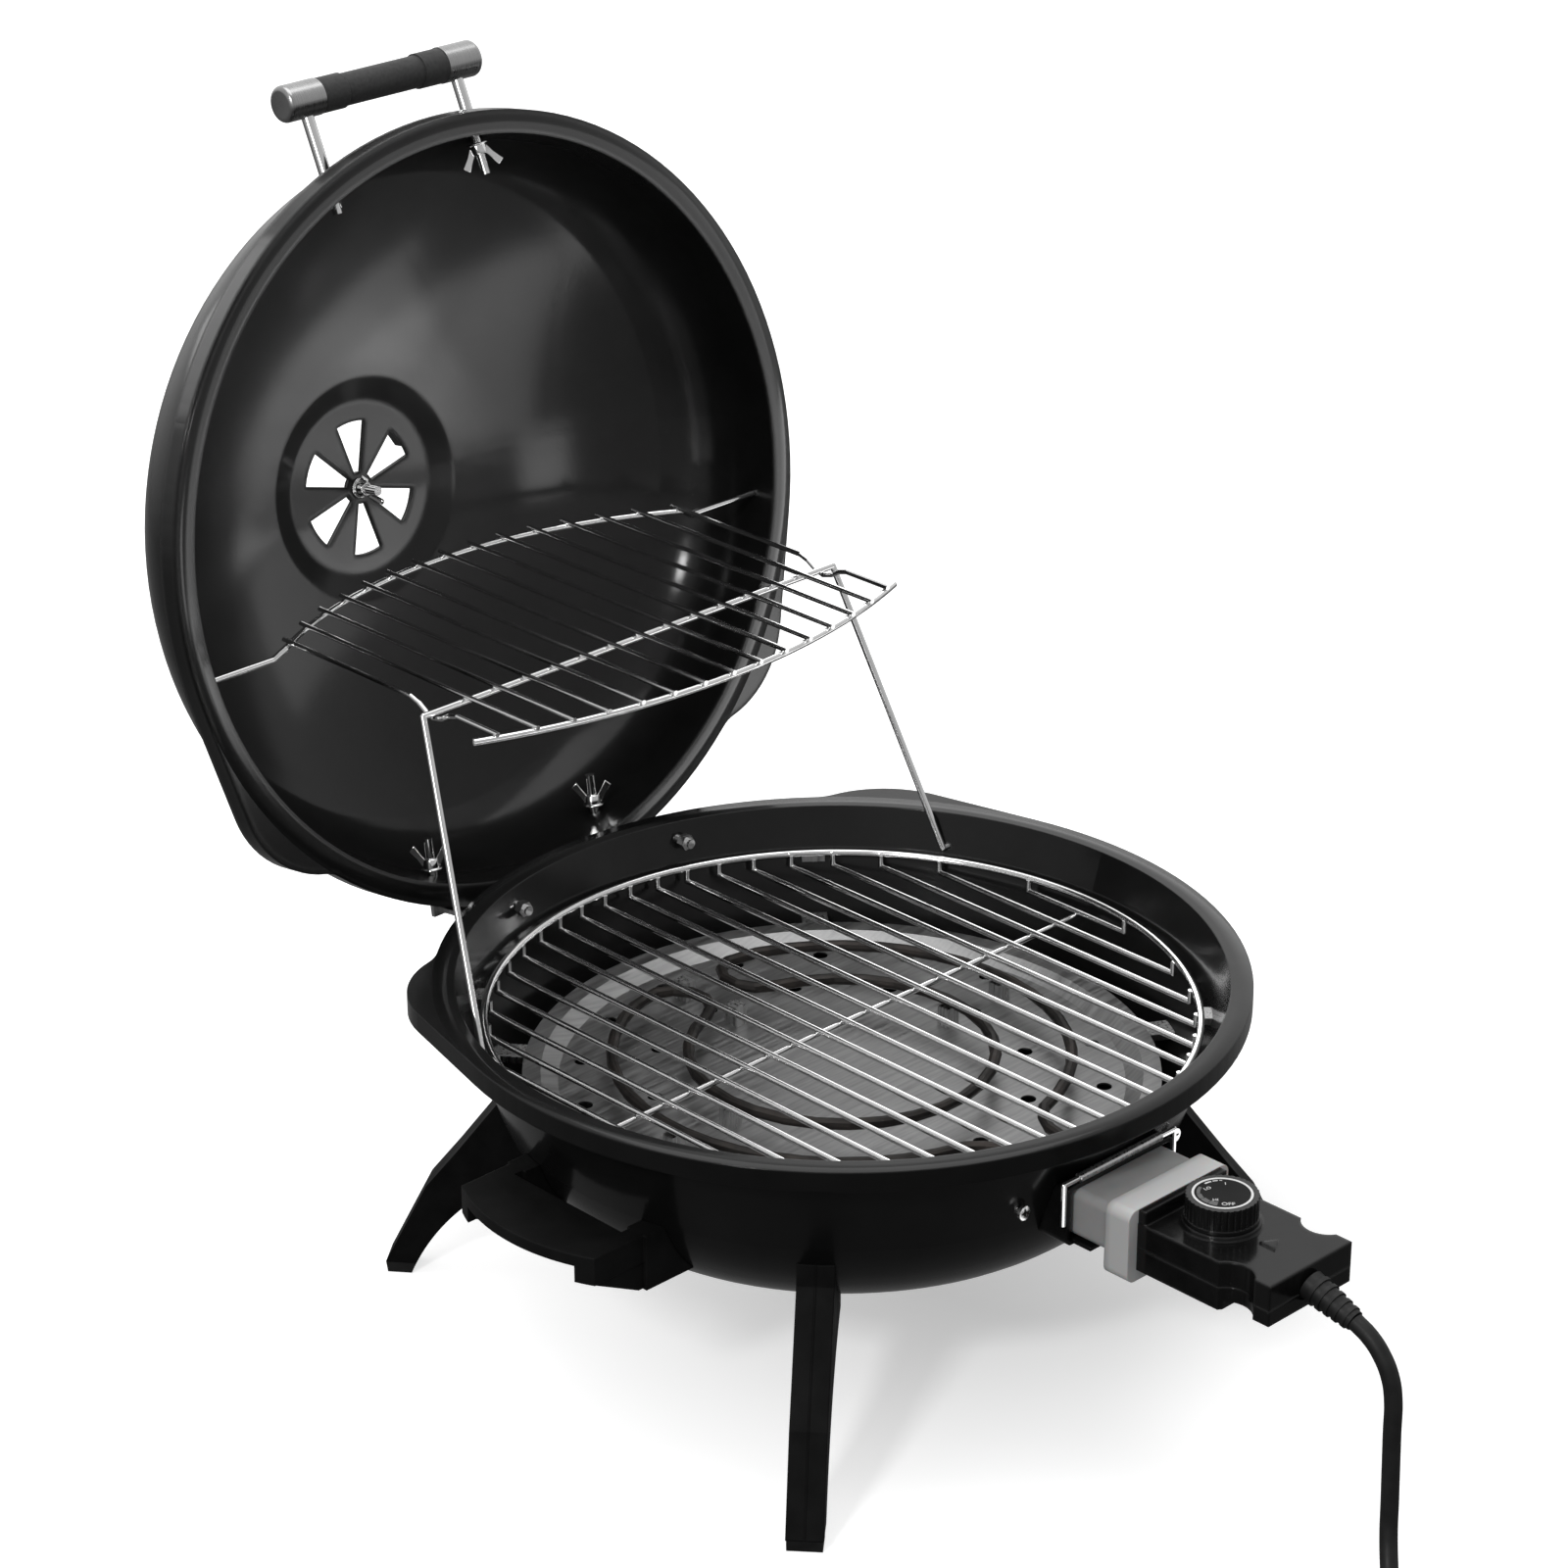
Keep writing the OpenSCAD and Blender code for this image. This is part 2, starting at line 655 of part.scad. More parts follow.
// Hinge strap on the lid: pad on the wall, step over the turned-back edge, drop to the middle knuckle
module hinge_lid_bracket() {
    tongue = hinge_w / 2 - 3;
    strap = 3;
    out_y = sqrt((rim_r + lid_over) ^ 2 - (hinge_x - tongue / 2) ^ 2) + 1 + strap;
    axis_z = hinge[1] - lid_gap;
    step_z = lid_skirt_h + 1.5;
    color(steel) on_lid() difference() {
        translate([hinge_x, 0, 0]) difference() {
            union() {
                block([-hinge_w / 2, lid_well - 26, step_z], [hinge_w / 2, lid_well - 3, hinge_bolt_z + 10]);
                block([-hinge_w / 2, lid_well - 12, step_z], [hinge_w / 2, out_y, step_z + strap]);
                block([-tongue / 2, out_y - strap, axis_z], [tongue / 2, out_y, step_z + strap]);
                rod([-tongue / 2, hinge[0], axis_z], [tongue / 2, hinge[0], axis_z], knuckle_r);
            }
            rod([-hinge_w, hinge[0], axis_z], [hinge_w, hinge[0], axis_z], pin_r + play);
            rod([0, 0, hinge_bolt_z], [0, rim_r, hinge_bolt_z], stud_r + play);
        }
        lid_fill(sheet);
    }
}

module hinge_lid_bracket_right() {
    hinge_lid_bracket();
}

module hinge_lid_bracket_left() {
    mirror([1, 0, 0]) hinge_lid_bracket();
}

module hinge_lid_bolts() {
    color(chrome) on_lid() both_sides() translate([hinge_x, 0, hinge_bolt_z]) {
        rod([0, lid_well - 3, 0], [0, lid_well + 0.5, 0], 5);
        rod([0, hinge_nut_y - 20, 0], [0, lid_well - 2, 0], stud_r);
    }
}

module hinge_wing_nuts() {
    color(chrome) on_lid() for (s = [-1, 1]) translate([s * hinge_x, hinge_nut_y, hinge_bolt_z])
        rotate([90, 45, 0]) wing_nut();
}

// Warming rack: arched rear and front wires with bars across
rear_bow_r = 303;
rear_bow = 43;
front_bow_r = 445;
front_reach = 210.4;
function rear_y(x) = rear_bow - rear_bow_r + sqrt(rear_bow_r ^ 2 - x ^ 2);
function front_y(x) = front_bow_r - front_reach - sqrt(front_bow_r ^ 2 - x ^ 2);

module at_rack() {
    at_rim() translate([0, rack_pivot[0], rack_pivot[1] + rack_crank]) children();
}

module rack_bow(r, y, half) {
    translate([0, y, 0]) rotate(90 - asin(half / r)) rotate_extrude(angle = 2 * asin(half / r), $fn = 128)
        translate([r, 0]) circle(r = wire_r);
}

module warming_rack() {
    half = (rack_n - 1) / 2;
    bend_x = half * rack_pitch + 4;
    front_half = half * rack_pitch + 12;
    bend = [bend_x, rear_y(bend_x), 0];
    ear = [bend_x + 8, 0, -rack_crank];
    lap_in = unit(ear - bend) * wire_r / 2;
    color(chrome) at_rack() {
        rack_bow(rear_bow_r, rear_bow - rear_bow_r, bend_x);
        translate([0, front_bow_r - front_reach, 0]) mirror([0, 1, 0]) rack_bow(front_bow_r, 0, front_half);
        both_sides() {
            rod(bend - lap_in, ear + lap_in, wire_r);
            rod(ear - [wire_r / 2, 0, 0], [lid_wall_x + 3, 0, -rack_crank], wire_r);
        }
        for (k = [-half + 1:half - 1]) {
            x = k * rack_pitch;
            rod([x, front_y(x) - 3.2, bar_lift], [x, rear_y(x) + 4, bar_lift], bar_wire_r, 180);
        }
    }
}

// Outer bars of the rack: each dips under the bail's cross bar and so holds it
module rack_hook_bars() {
    x = (rack_n - 1) / 2 * rack_pitch;
    dip = 2 * (wire_r + bar_wire_r + hook_gap);
    slope = 20;
    hook = [for (t = [0:30:180]) [x, slope * (1 - t / 90) - rack_reach, bar_lift - dip * (1 - cos(2 * t)) / 2]];
    color(chrome) at_rack() both_sides()
        tube(concat([[x, rear_y(x) + 4, bar_lift]], hook, [[x, front_y(x) - 2, bar_lift]]), bar_wire_r, 10, [1, 0, 0]);
}

// Bail: cross bar under the rack, slanting legs, and feet turned out through the bowl wall
module rack_bail() {
    top = [bail_half, bail_top[0], bail_top[1]];
    low = [bail_foot_x, bail_foot[0], bail_foot[1]];
    color(chrome) at_rim() {
        rod([-bail_half, bail_top[0], bail_top[1]], top, wire_r);
        both_sides() {
            translate(top) sphere(r = wire_r * 1.02);
            rod(top, low, wire_r);
            translate(low) sphere(r = wire_r * 1.02);
            rod(low, [wall_x + 9, bail_foot[0], bail_foot[1]], wire_r);
        }
    }
}

// Cooking grate: ring, rods with turned-up ends, and one cross bar below
module cooking_grate() {
    rods = floor((rod_end_r - 3) / rod_pitch);
    color(chrome) at_rim() {
        translate([0, 0, -grate_drop]) rotate_extrude($fn = 128) translate([grate_r, 0]) circle(r = ring_r);
        for (k = [-rods:rods]) {
            x = k * rod_pitch;
            y = sqrt(rod_end_r ^ 2 - x ^ 2);
            rod([x, -y, rod_z], [x, y, rod_z], rod_r);
            for (s = [-1, 1]) {
                translate([x, s * y, rod_z]) sphere(r = rod_r * 1.02);
                rod([x, s * y, rod_z], [x, s * y, -grate_drop], rod_r);
            }
        }
        rod([-rod_end_r + 4, 0, rod_z - 2 * rod_r + 0.5], [rod_end_r - 4, 0, rod_z - 2 * rod_r + 0.5], rod_r);
    }
}

// Tabs on the bowl wall that carry the grate and the pan
module wall_tab(r, top, w) {
    intersection() {
        block([r, -w / 2, top - 4], [well_r, w / 2, top]);
        bowl_fill(0);
    }
}

module grate_tabs() {
    color(steel) at_rim() for (az = [-135, -45, 50, 130])
        rotate(az) wall_tab(grate_r + 0.4, -grate_drop - ring_r, 14);
}

module pan_tabs() {
    color(steel) at_rim() for (az = [-150, -30, 50, 130]) rotate(az) wall_tab(pan_r - 8, -pan_drop - pan_t, 16);
}

// Reflector pan with drain holes
module reflector_pan() {
    color([0.62, 0.62, 0.62]) at_rim() difference() {
        rotate_extrude($fn = 128) polygon([[0, -pan_floor - pan_t], [pan_r - 20, -pan_floor - pan_t],
            [pan_r - 10, -pan_drop - pan_t], [pan_r, -pan_drop - pan_t], [pan_r, -pan_drop],
            [pan_r - 10.6, -pan_drop], [pan_r - 20.6, -pan_floor], [0, -pan_floor]]);
        for (k = [0:17]) rotate(k * 20 + 10) translate([loop_r + 19, 0, -pan_floor - past / 2])
            cylinder(h = past, r = 4.5);
        for (k = [0:11]) rotate(k * 30) translate([(loop_r + inner_loop_r) / 2, 0, -pan_floor - past / 2])
            cylinder(h = past, r = 4.5);
    }
}

// Heating tube: two leads, outer loop, turns at the back, inner loop
lead_az = 14;
turn_r = (loop_r - inner_loop_r) / 2;
back_az = 162;
function ring_p(r, a) = [r * sin(a), -r * cos(a), -element_drop];
turn_mid = ring_p(loop_r - turn_r, back_az);
element_half = concat([[terminal_x, -shroud_in_y - 8, -element_drop], [terminal_x, -loop_r - 26, -element_drop],
    [terminal_x + 2.5, -loop_r - 14, -element_drop], [terminal_x + 9, -loop_r - 3.5, -element_drop]],
    [for (a = [lead_az:8:back_az]) ring_p(loop_r, a)],
    [for (b = [30:30:150]) turn_mid + turn_r * [sin(back_az + b), -cos(back_az + b), 0]],
    [for (a = [back_az:-12:6]) ring_p(inner_loop_r, a)]);
n_half = len(element_half);
element_route = concat(element_half,
    [for (i = [n_half - 1:-1:0]) [-element_half[i][0], element_half[i][1], element_half[i][2]]]);

module heating_element() {
    color([0.2, 0.2, 0.2]) at_rim() tube(element_route, element_r, 10, [0, 0, 1]);
}

module element_clips() {
    top = -element_drop - element_r;
    color(steel) at_rim() for (az = [0, 90, 180]) rotate(az) {
        block([inner_loop_r - 5, -4, -pan_floor], [inner_loop_r + 5, 4, top - 0.2]);
        block([loop_r - 5, -4, -pan_floor], [loop_r + 5, 4, top - 0.2]);
    }
}

// Flat plate inside the front wall that carries the leads
module element_plate() {
    color(steel) at_rim() difference() {
        block([-screw_x - 8, -screw_y + 9, -element_drop - 8], [screw_x + 8, -screw_y + 11, -element_drop + 9]);
        for (x = [-terminal_x, 0, terminal_x]) rod([x, -socket_y, -element_drop], [x, -pan_r + 20, -element_drop],
            element_r + 0.4);
        both_sides() rod([screw_x, -rim_r, -screw_drop], [screw_x, -pan_r + 20, -screw_drop], 2 + play);
    }
}

// Socket box on the front wall, open at its mouth, with a lip along the bottom
module socket_box() {
    low = -socket_top - socket_h;
    color(plastic) at_rim() difference() {
        union() {
            front_view(pan_r, socket_y) difference() {
                round_rect([-socket_w, low], [socket_w, -socket_top], 4);
                round_rect([socket_t - socket_w, low + socket_t], [socket_w - socket_t, -socket_top - socket_t], 2);
            }
            block([6 - socket_w, -socket_y - 12, low], [socket_w - 6, -socket_y + 1, low + socket_t]);
        }
        bowl_fill(sheet);
    }
}

// Wire frame over the top edge of the mouth, with a sleeve on its cross bar
wire_frame_r = 1.7;
wire_frame_x = socket_w + wire_frame_r;
wire_frame_y = socket_y - wire_frame_r + 0.2;
sleeve_t = 1;
wire_frame_z = -socket_top + wire_frame_r + sleeve_t + play;

module socket_wire() {
    top = [wire_frame_x, -wire_frame_y, wire_frame_z];
    color(chrome) at_rim() {
        rod([-wire_frame_x, -wire_frame_y, wire_frame_z], top, wire_frame_r);
        both_sides() {
            translate(top) sphere(r = wire_frame_r * 1.02);
            rod(top, top + [0, 0, -25], wire_frame_r);
        }
    }
}

module socket_sleeve() {
    half = socket_w - 10;
    color(steel) at_rim() difference() {
        rod([-half, -wire_frame_y, wire_frame_z], [half, -wire_frame_y, wire_frame_z],
            wire_frame_r + sleeve_t);
        rod([-half - 1, -wire_frame_y, wire_frame_z], [half + 1, -wire_frame_y, wire_frame_z], wire_frame_r);
    }
}

module socket_screws() {
    head_y = sqrt(wall_r(-screw_drop + 4.5, sheet) ^ 2 - (screw_x - 4.5) ^ 2) + 0.1;
    color(chrome) at_rim() both_sides() {
        rod([screw_x, -head_y - 2, -screw_drop], [screw_x, -head_y, -screw_drop], 4.2);
        rod([screw_x, -head_y - 1, -screw_drop], [screw_x, -screw_y + 14, -screw_drop], 2);
    }
}

// Frosted shroud that plugs into the socket box, with a wider collar
module control_shroud() {
    color(frost) at_rim() difference() {
        union() {
            front_view(shroud_in_y, collar_y + 1)
                round_rect([-shroud_half, -shroud_top - shroud_h + 3], [shroud_half, -shroud_top], 5);
            front_view(collar_y, case_y) round_rect([-shroud_half - 3.6, -shroud_top - shroud_h - 8],
                [shroud_half + 3.6, -shroud_top + 4.3], 6);
        }
        both_sides() rod([terminal_x, -socket_y - 14, -element_drop], [terminal_x, 0, -element_drop],
            element_r + 0.4);
        rod([0, -socket_y - 14, -element_drop], [0, 0, -element_drop], 3);
    }
}

// Temperature probe between the two terminals
module control_probe() {
    color(chrome) at_rim() rod([0, -socket_y - 14, -element_drop], [0, -pan_r + 6, -element_drop], 3);
}

// Plan of the control case: straight sides, waist, end block
module case_plan() {
    waist_r = 14;
    difference() {
        translate([-case_w, -case_end]) square([2 * case_w, case_len]);
        for (s = [-1, 1]) translate([s * (case_w + waist_r - 7), -waist_y - 10.5]) circle(r = waist_r);
    }
}

module control_upper_case() {
    shaft_r = 3;
    color(plastic) at_rim() difference() {
        union() {
            translate([0, 0, -case_split]) linear_extrude(case_split - case_top) case_plan();
            block([-case_w + 0.5, -case_y - 5, -case_top - 2], [case_w - 0.5, -case_y, -case_top + 8]);
            translate([0, -knob_y, -case_top - 1]) cylinder(h = boss_h + 1, r = boss_r);
            translate([0, -case_end + 28, -case_top]) cylinder(h = 1.2, r = 6, $fn = 3);
        }
        translate([0, -knob_y, -case_top - 10]) cylinder(h = 2 * past, r = shaft_r + play);
    }
}

module control_lower_case() {
    color(plastic) at_rim() difference() {
        translate([0, 0, -case_low]) linear_extrude(case_low - case_split) case_plan();
        block([-2 * case_w, -case_end - 1, -case_low - 1], [2 * case_w, -waist_y, -case_low + 4.7]);
    }
}

// Knob: fluted body with its shaft, and the dial plate let into its top
module knob() {
    base_z = -case_top + boss_h + gap;
    color(plastic) at_rim() translate([0, -knob_y, base_z]) {
        difference() {
            union() {
                cylinder(h = 2, r = knob_r + 0.6);
                linear_extrude(knob_h) difference() {
                    circle(r = knob_r);
                    for (k = [0:flute_n - 1]) rotate(k * 360 / flute_n) translate([knob_r + 0.35, 0]) circle(r = 0.9);
                }
            }
            translate([0, 0, knob_h - 0.8]) cylinder(h = 2, r = knob_r - 3);
        }
        translate([0, 0, -boss_h - 9]) cylinder(h = boss_h + 10, r = 3);
    }
}

module knob_dial() {
    color(steel) at_rim() translate([0, -knob_y, -case_top + boss_h + gap + knob_h - 0.8])
        cylinder(h = 0.8, r = knob_r - 3);
}

// Tapered strain relief with ribs, along the first stretch of the cord
module strain_relief() {
    color(plastic) translate(exit_p) rotate([90 + relief_dip, 0, 0]) difference() {
        union() {
            cylinder(h = relief_len, r1 = 8.5, r2 = cord_r + 0.8);
            for (k = [0:4]) translate([0, 0, 5 + 5.5 * k]) cylinder(h = 2.4, r = 9 - 0.55 * k);
        }
        rotate([-relief_dip, 0, 0]) translate([-past, -past, -2 * past]) cube(2 * past);
    }
}

module cord_tube() {
    color(plastic) tube(cord_route, cord_r, 12, [0.94, -0.34, 0]);
}

module cord_tail() {
    color(plastic) tube(tail_route, cord_r, 12, [0, 0, 1]);
}

// Coil: the outer shape of the turns laid in two layers, held by a tie
module cord_coil() {
    half = 2 * cord_r;
    color(plastic) translate(coil_c) rotate_extrude() translate([coil_r, 0])
        round_rect([-half, 0], [half, 4 * cord_r - 1], cord_r - 0.5);
}

module cord_tie() {
    out = 2 * cord_r + 1.2;
    color([0.1, 0.1, 0.1]) translate(coil_c) rotate(run_az + 180) translate([coil_r, 6, 0]) rotate([90, 0, 0])
        linear_extrude(12) difference() {
            round_rect([-out, 0], [out, 4 * cord_r + 0.2], cord_r);
            round_rect([-2 * cord_r, 0], [2 * cord_r, 4 * cord_r - 1], cord_r - 0.5);
        }
}

// Moulded plug lying on the table, with two flat blades and an earth pin
module at_plug() {
    translate(plug_in) rotate(tail_az) children();
}

module plug_body() {
    color(plastic) at_plug() {
        rotate([0, 90, 0]) cylinder(h = 16, r1 = cord_r + 0.8, r2 = 9);
        translate([12, 0, -plug_z]) linear_extrude(2 * plug_z) round_rect([0, -15], [30, 15], 6);
    }
}

module plug_blades() {
    color(chrome) at_plug() {
        for (y = [-6.35, 6.35]) block([42, y - 0.8, -2], [60, y + 0.8, 4.5]);
        rod([42, 0, -6], [62, 0, -6], 2.4);
    }
}

// Legs: side view extruded across, shaped to the bowl
function leg_azimuths() = [leg_front - 90, -leg_front - 90, leg_rear - 90, -leg_rear - 90];

module leg_side() {
    hip_h = 14;
    difference() {
        polygon([[inside_r, hip_z - 18], [hip_r - 19, hip_z + hip_h], [hip_r - 3, hip_z + hip_h], [hip_r, hip_z],
            [foot_r - 43, hip_z - 39], [foot_r - 25, -rim_h + 60], [foot_r + 1, -rim_h + foot_h],
            [foot_r, -rim_h], [foot_r - 15, -rim_h], [inside_r, -rim_h]]);
        translate(leg_arc_c) circle(r = leg_arc_r, $fn = 128);
    }
}

module leg(az) {
    color(plastic) at_rim() rotate(az) difference() {
        rotate([90, 0, 0]) translate([0, 0, -leg_w / 2]) linear_extrude(leg_w) leg_side();
        bowl_fill(sheet);
        block([0, -leg_w, -rim_h - 1], [2 * foot_r, leg_w, -rim_h + foot_h]);
        leg_bolt_hole();
    }
}

module foot(az) {
    color([0.04, 0.04, 0.04]) at_rim() rotate(az) intersection() {
        rotate([90, 0, 0]) translate([0, 0, 0.5 - leg_w / 2]) linear_extrude(leg_w - 1) leg_side();
        block([foot_r - 40, -leg_w, -rim_h], [2 * foot_r, leg_w, -rim_h + foot_h]);
    }
}

module leg_front_right() {
    leg(leg_front - 90);
}

module leg_front_left() {
    leg(-leg_front - 90);
}

module leg_rear_right() {
    leg(leg_rear - 90);
}

module leg_rear_left() {
    leg(-leg_rear - 90);
}

module foot_front_right() {
    foot(leg_front - 90);
}

module foot_front_left() {
    foot(-leg_front - 90);
}

module foot_rear_right() {
    foot(leg_rear - 90);
}

module foot_rear_left() {
    foot(-leg_rear - 90);
}

// Bolt from inside the bowl into a leg, square to the round of the bowl
leg_bolt_az = 40;
module leg_bolt_line(from, to, r) {
    translate([round_r, 0, round_z]) rotate([0, 90 + leg_bolt_az, 0]) translate([0, 0, from])
        cylinder(h = to - from, r = r);
}

module leg_bolt_hole() {
    leg_bolt_line(inner_round - 10, inner_round + 13, 2.5 + play);
}

module leg_bolts() {
    color(chrome) at_rim() for (az = leg_azimuths()) rotate(az) {
        leg_bolt_line(inner_round - 3.6, inner_round - 0.3, 5.5);
        leg_bolt_line(inner_round - 1, inner_round + 12, 2.5);
    }
}

// Side handle: flat deck with a bowed edge, carried by two arms on tall pads
side_top = -68;
side_bolt_z = side_top - 24;

module side_handle() {
    deck_t = 7;
    deck_in = rim_r - 22;
    arm_w = 11;
    bow_r = 120;
    color(plastic) at_rim() difference() {
        intersection() {
            union() {
                block([deck_in, -side_half, side_top - deck_t], [side_reach, side_half, side_top]);
                for (s = [-1, 1]) translate([0, s * (side_half - arm_w / 2), 0]) {
                    block([inside_r + 20, -arm_w / 2, side_top - 17], [side_reach, arm_w / 2, side_top]);
                    block([inside_r, -arm_w / 2 - 2, side_top - 34],
                        [wall_r(side_top, sheet) + 6, arm_w / 2 + 2, side_top]);
                }
            }
            translate([side_reach - bow_r, 0, side_top - 40]) cylinder(h = 50, r = bow_r, $fn = 128);
        }
        bowl_fill(sheet);
        side_bolt_holes();
    }
}

module side_bolt_line(from, to, r) {
    for (s = [-1, 1]) rod([from, s * (side_half - 5.5), side_bolt_z], [to, s * (side_half - 5.5), side_bolt_z], r);
}

module side_bolt_holes() {
    side_bolt_line(inside_r, wall_r(side_top, sheet) + 1, 2 + play);
}

module side_handle_right() {
    side_handle();
}

module side_handle_left() {
    mirror([1, 0, 0]) side_handle();
}

module side_handle_bolts() {
    seat = sqrt((round_r + sqrt(inner_round ^ 2 - (side_bolt_z - 4.5 - round_z) ^ 2)) ^ 2 - (side_half - 1) ^ 2);
    color(chrome) at_rim() both_sides() {
        side_bolt_line(seat - 3.5, seat - 0.3, 4.5);
        side_bolt_line(seat - 1, wall_r(side_top, sheet), 2);
    }
}

bowl();
lid();
leg_front_left();
leg_front_right();
leg_rear_left();
leg_rear_right();
foot_front_left();
foot_front_right();
foot_rear_left();
foot_rear_right();
leg_bolts();
side_handle_left();
side_handle_right();
side_handle_bolts();
cooking_grate();
grate_tabs();
reflector_pan();
pan_tabs();
heating_element();
element_clips();
element_plate();
socket_box();
socket_wire();
socket_sleeve();
socket_screws();
hinge_bowl_bracket_left();
hinge_bowl_bracket_right();
hinge_bowl_bolts();
hinge_pin_left();
hinge_pin_right();
hinge_lid_bracket_left();
hinge_lid_bracket_right();
hinge_lid_bolts();
hinge_wing_nuts();
handle_grip();
handle_cap_left();
handle_cap_right();
handle_post_left();
handle_post_right();
handle_wing_nuts();
vent_bolt();
vent_wing_nut();
vent_damper();
warming_rack();
rack_hook_bars();
rack_bail();
control_upper_case();
control_lower_case();
control_shroud();
control_probe();
knob();
knob_dial();
strain_relief();
cord_tube();
cord_coil();
cord_tie();
cord_tail();
plug_body();
plug_blades();
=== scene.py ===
import json
import math
import bmesh
import bpy
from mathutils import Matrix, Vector


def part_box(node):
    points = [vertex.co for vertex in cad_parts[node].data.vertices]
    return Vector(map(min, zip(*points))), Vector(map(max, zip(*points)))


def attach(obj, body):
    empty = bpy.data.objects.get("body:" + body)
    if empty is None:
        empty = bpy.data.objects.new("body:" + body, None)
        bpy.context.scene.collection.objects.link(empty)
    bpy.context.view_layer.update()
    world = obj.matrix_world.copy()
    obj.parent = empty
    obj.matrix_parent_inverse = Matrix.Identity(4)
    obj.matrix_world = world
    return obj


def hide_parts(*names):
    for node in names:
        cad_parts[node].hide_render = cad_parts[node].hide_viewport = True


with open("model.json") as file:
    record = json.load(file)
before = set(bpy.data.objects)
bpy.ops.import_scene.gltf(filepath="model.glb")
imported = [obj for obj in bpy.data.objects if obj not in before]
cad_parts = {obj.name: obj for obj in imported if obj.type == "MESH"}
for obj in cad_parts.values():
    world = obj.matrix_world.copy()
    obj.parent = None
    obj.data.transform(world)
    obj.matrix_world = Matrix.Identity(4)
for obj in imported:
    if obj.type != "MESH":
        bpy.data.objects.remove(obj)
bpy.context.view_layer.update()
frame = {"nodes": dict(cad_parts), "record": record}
nodes = frame["nodes"]
scene = bpy.context.scene
MM = 0.001
RIGHT = Vector((1, 0, 0))


# Camera, at the photograph's angle
CAM_AZIMUTH, CAM_ELEVATION = -44.25, 24.758
CAM_PLACE = (-1.6205, -1.6615, 1.3862)
PHOTO_WIDTH, FOCAL_PX, SENSOR, CLIP_END = 1600, 4568.9, 36.0, 60


def make_camera():
    data = bpy.data.cameras.new("camera")
    data.sensor_width = SENSOR
    data.lens = FOCAL_PX * SENSOR / PHOTO_WIDTH
    data.clip_end = CLIP_END
    cam = bpy.data.objects.new("camera", data)
    cam.location = CAM_PLACE
    cam.rotation_euler = (math.radians(90 - CAM_ELEVATION), 0, math.radians(CAM_AZIMUTH))
    scene.collection.objects.link(cam)
    scene.camera = cam


make_camera()


# Cord: the route of the model's tube, coil and tail, in millimetres and degrees
CORD_R, COIL_R, COIL_STEP = 5.0, 55.0, 10.15
RELIEF_END = Vector((0, -427.102, 146.644))
RELIEF_DIP, BEND_R, BEND_END = 17.0, 40.0, 85
FALL_R, FALL_STEP = 45.0, (-4.0, -5.3)
RUN_AZ, RUN_LEN = 225.7, 65.0
TAIL_LEN, PLUG_Z, TAIL_LEVEL = 65.0, 11.0, 0.3
# Start and length of the coil's moves inward, up on to the first turns, and outward again
COIL_IN, COIL_UP, COIL_OUT = (288, 70), (590, 60), (845, 80)
COIL_END, COIL_POINT_STEP = 1170, 15
# Places of the listed points along the other stretches
BEND_ANGLES, TURN_ANGLES = (34, 51, 68, BEND_END), (18, 36, 54, 72, 90)
FALL_SHARES, RUN_SHARES, TAIL_SHARES = (0.33, 0.67, 1), (0.35, 0.7), (0.33, 0.67, 1)
CORD_ROUNDING, CORD_CUTS, LENGTH_CUTS = 6, 8, 16


def sin(angle):
    return math.sin(math.radians(angle))


def cos(angle):
    return math.cos(math.radians(angle))


def flat(azimuth):
    return Vector((cos(azimuth), sin(azimuth), 0))


def upward(z):
    return Vector((0, 0, z))


def ease(place, start, length):
    """Smooth rise from 0 to 1 over a length that begins at start."""
    t = min(max((place - start) / length, 0.0), 1.0)
    return t * t * (3 - 2 * t)


def cord_points():
    """Points of the cord from the strain relief to the plug, in metres."""
    run, side = flat(RUN_AZ), flat(RUN_AZ + 90)
    outer = COIL_R + COIL_STEP / 2
    second_layer = CORD_R + COIL_STEP

    def bend(angle):
        return RELIEF_END + BEND_R * Vector((0, sin(RELIEF_DIP) - sin(angle), cos(angle) - cos(RELIEF_DIP)))

    bend_end = bend(BEND_END)
    fall = Vector((bend_end.x + FALL_STEP[0], bend_end.y + FALL_STEP[1], FALL_R + CORD_R))

    def turn(angle):
        return fall + FALL_R * (1 - cos(angle)) * run - upward(FALL_R * sin(angle))

    landed = turn(90)
    centre = landed + RUN_LEN * run - COIL_R * side
    centre.z = 0

    def straight(share):
        return landed + share * RUN_LEN * run + (outer - COIL_R) * ease(share, 0, 1) * side

    def coil(angle):
        radius = outer - COIL_STEP * ease(angle, *COIL_IN) + COIL_STEP * ease(angle, *COIL_OUT)
        up = CORD_R + COIL_STEP * ease(angle, *COIL_UP)
        return centre + radius * flat(RUN_AZ + 90 - angle) + upward(up)

    def tail(share):
        radius = COIL_R + (outer - COIL_R) * (1 - ease(share, 0, 1))
        up = second_layer + (PLUG_Z - second_layer) * ease(share, TAIL_LEVEL, 1 - TAIL_LEVEL)
        return centre + radius * run + share * TAIL_LEN * flat(RUN_AZ - 90) + upward(up)

    points = [RELIEF_END] + [bend(angle) for angle in BEND_ANGLES]
    points += [bend_end.lerp(fall, share) for share in FALL_SHARES]
    points += [turn(angle) for angle in TURN_ANGLES]
    points += [straight(share) for share in RUN_SHARES]
    points += [coil(angle) for angle in range(0, COIL_END + 1, COIL_POINT_STEP)]
    points += [tail(share) for share in TAIL_SHARES]
    return [point * MM for point in points]


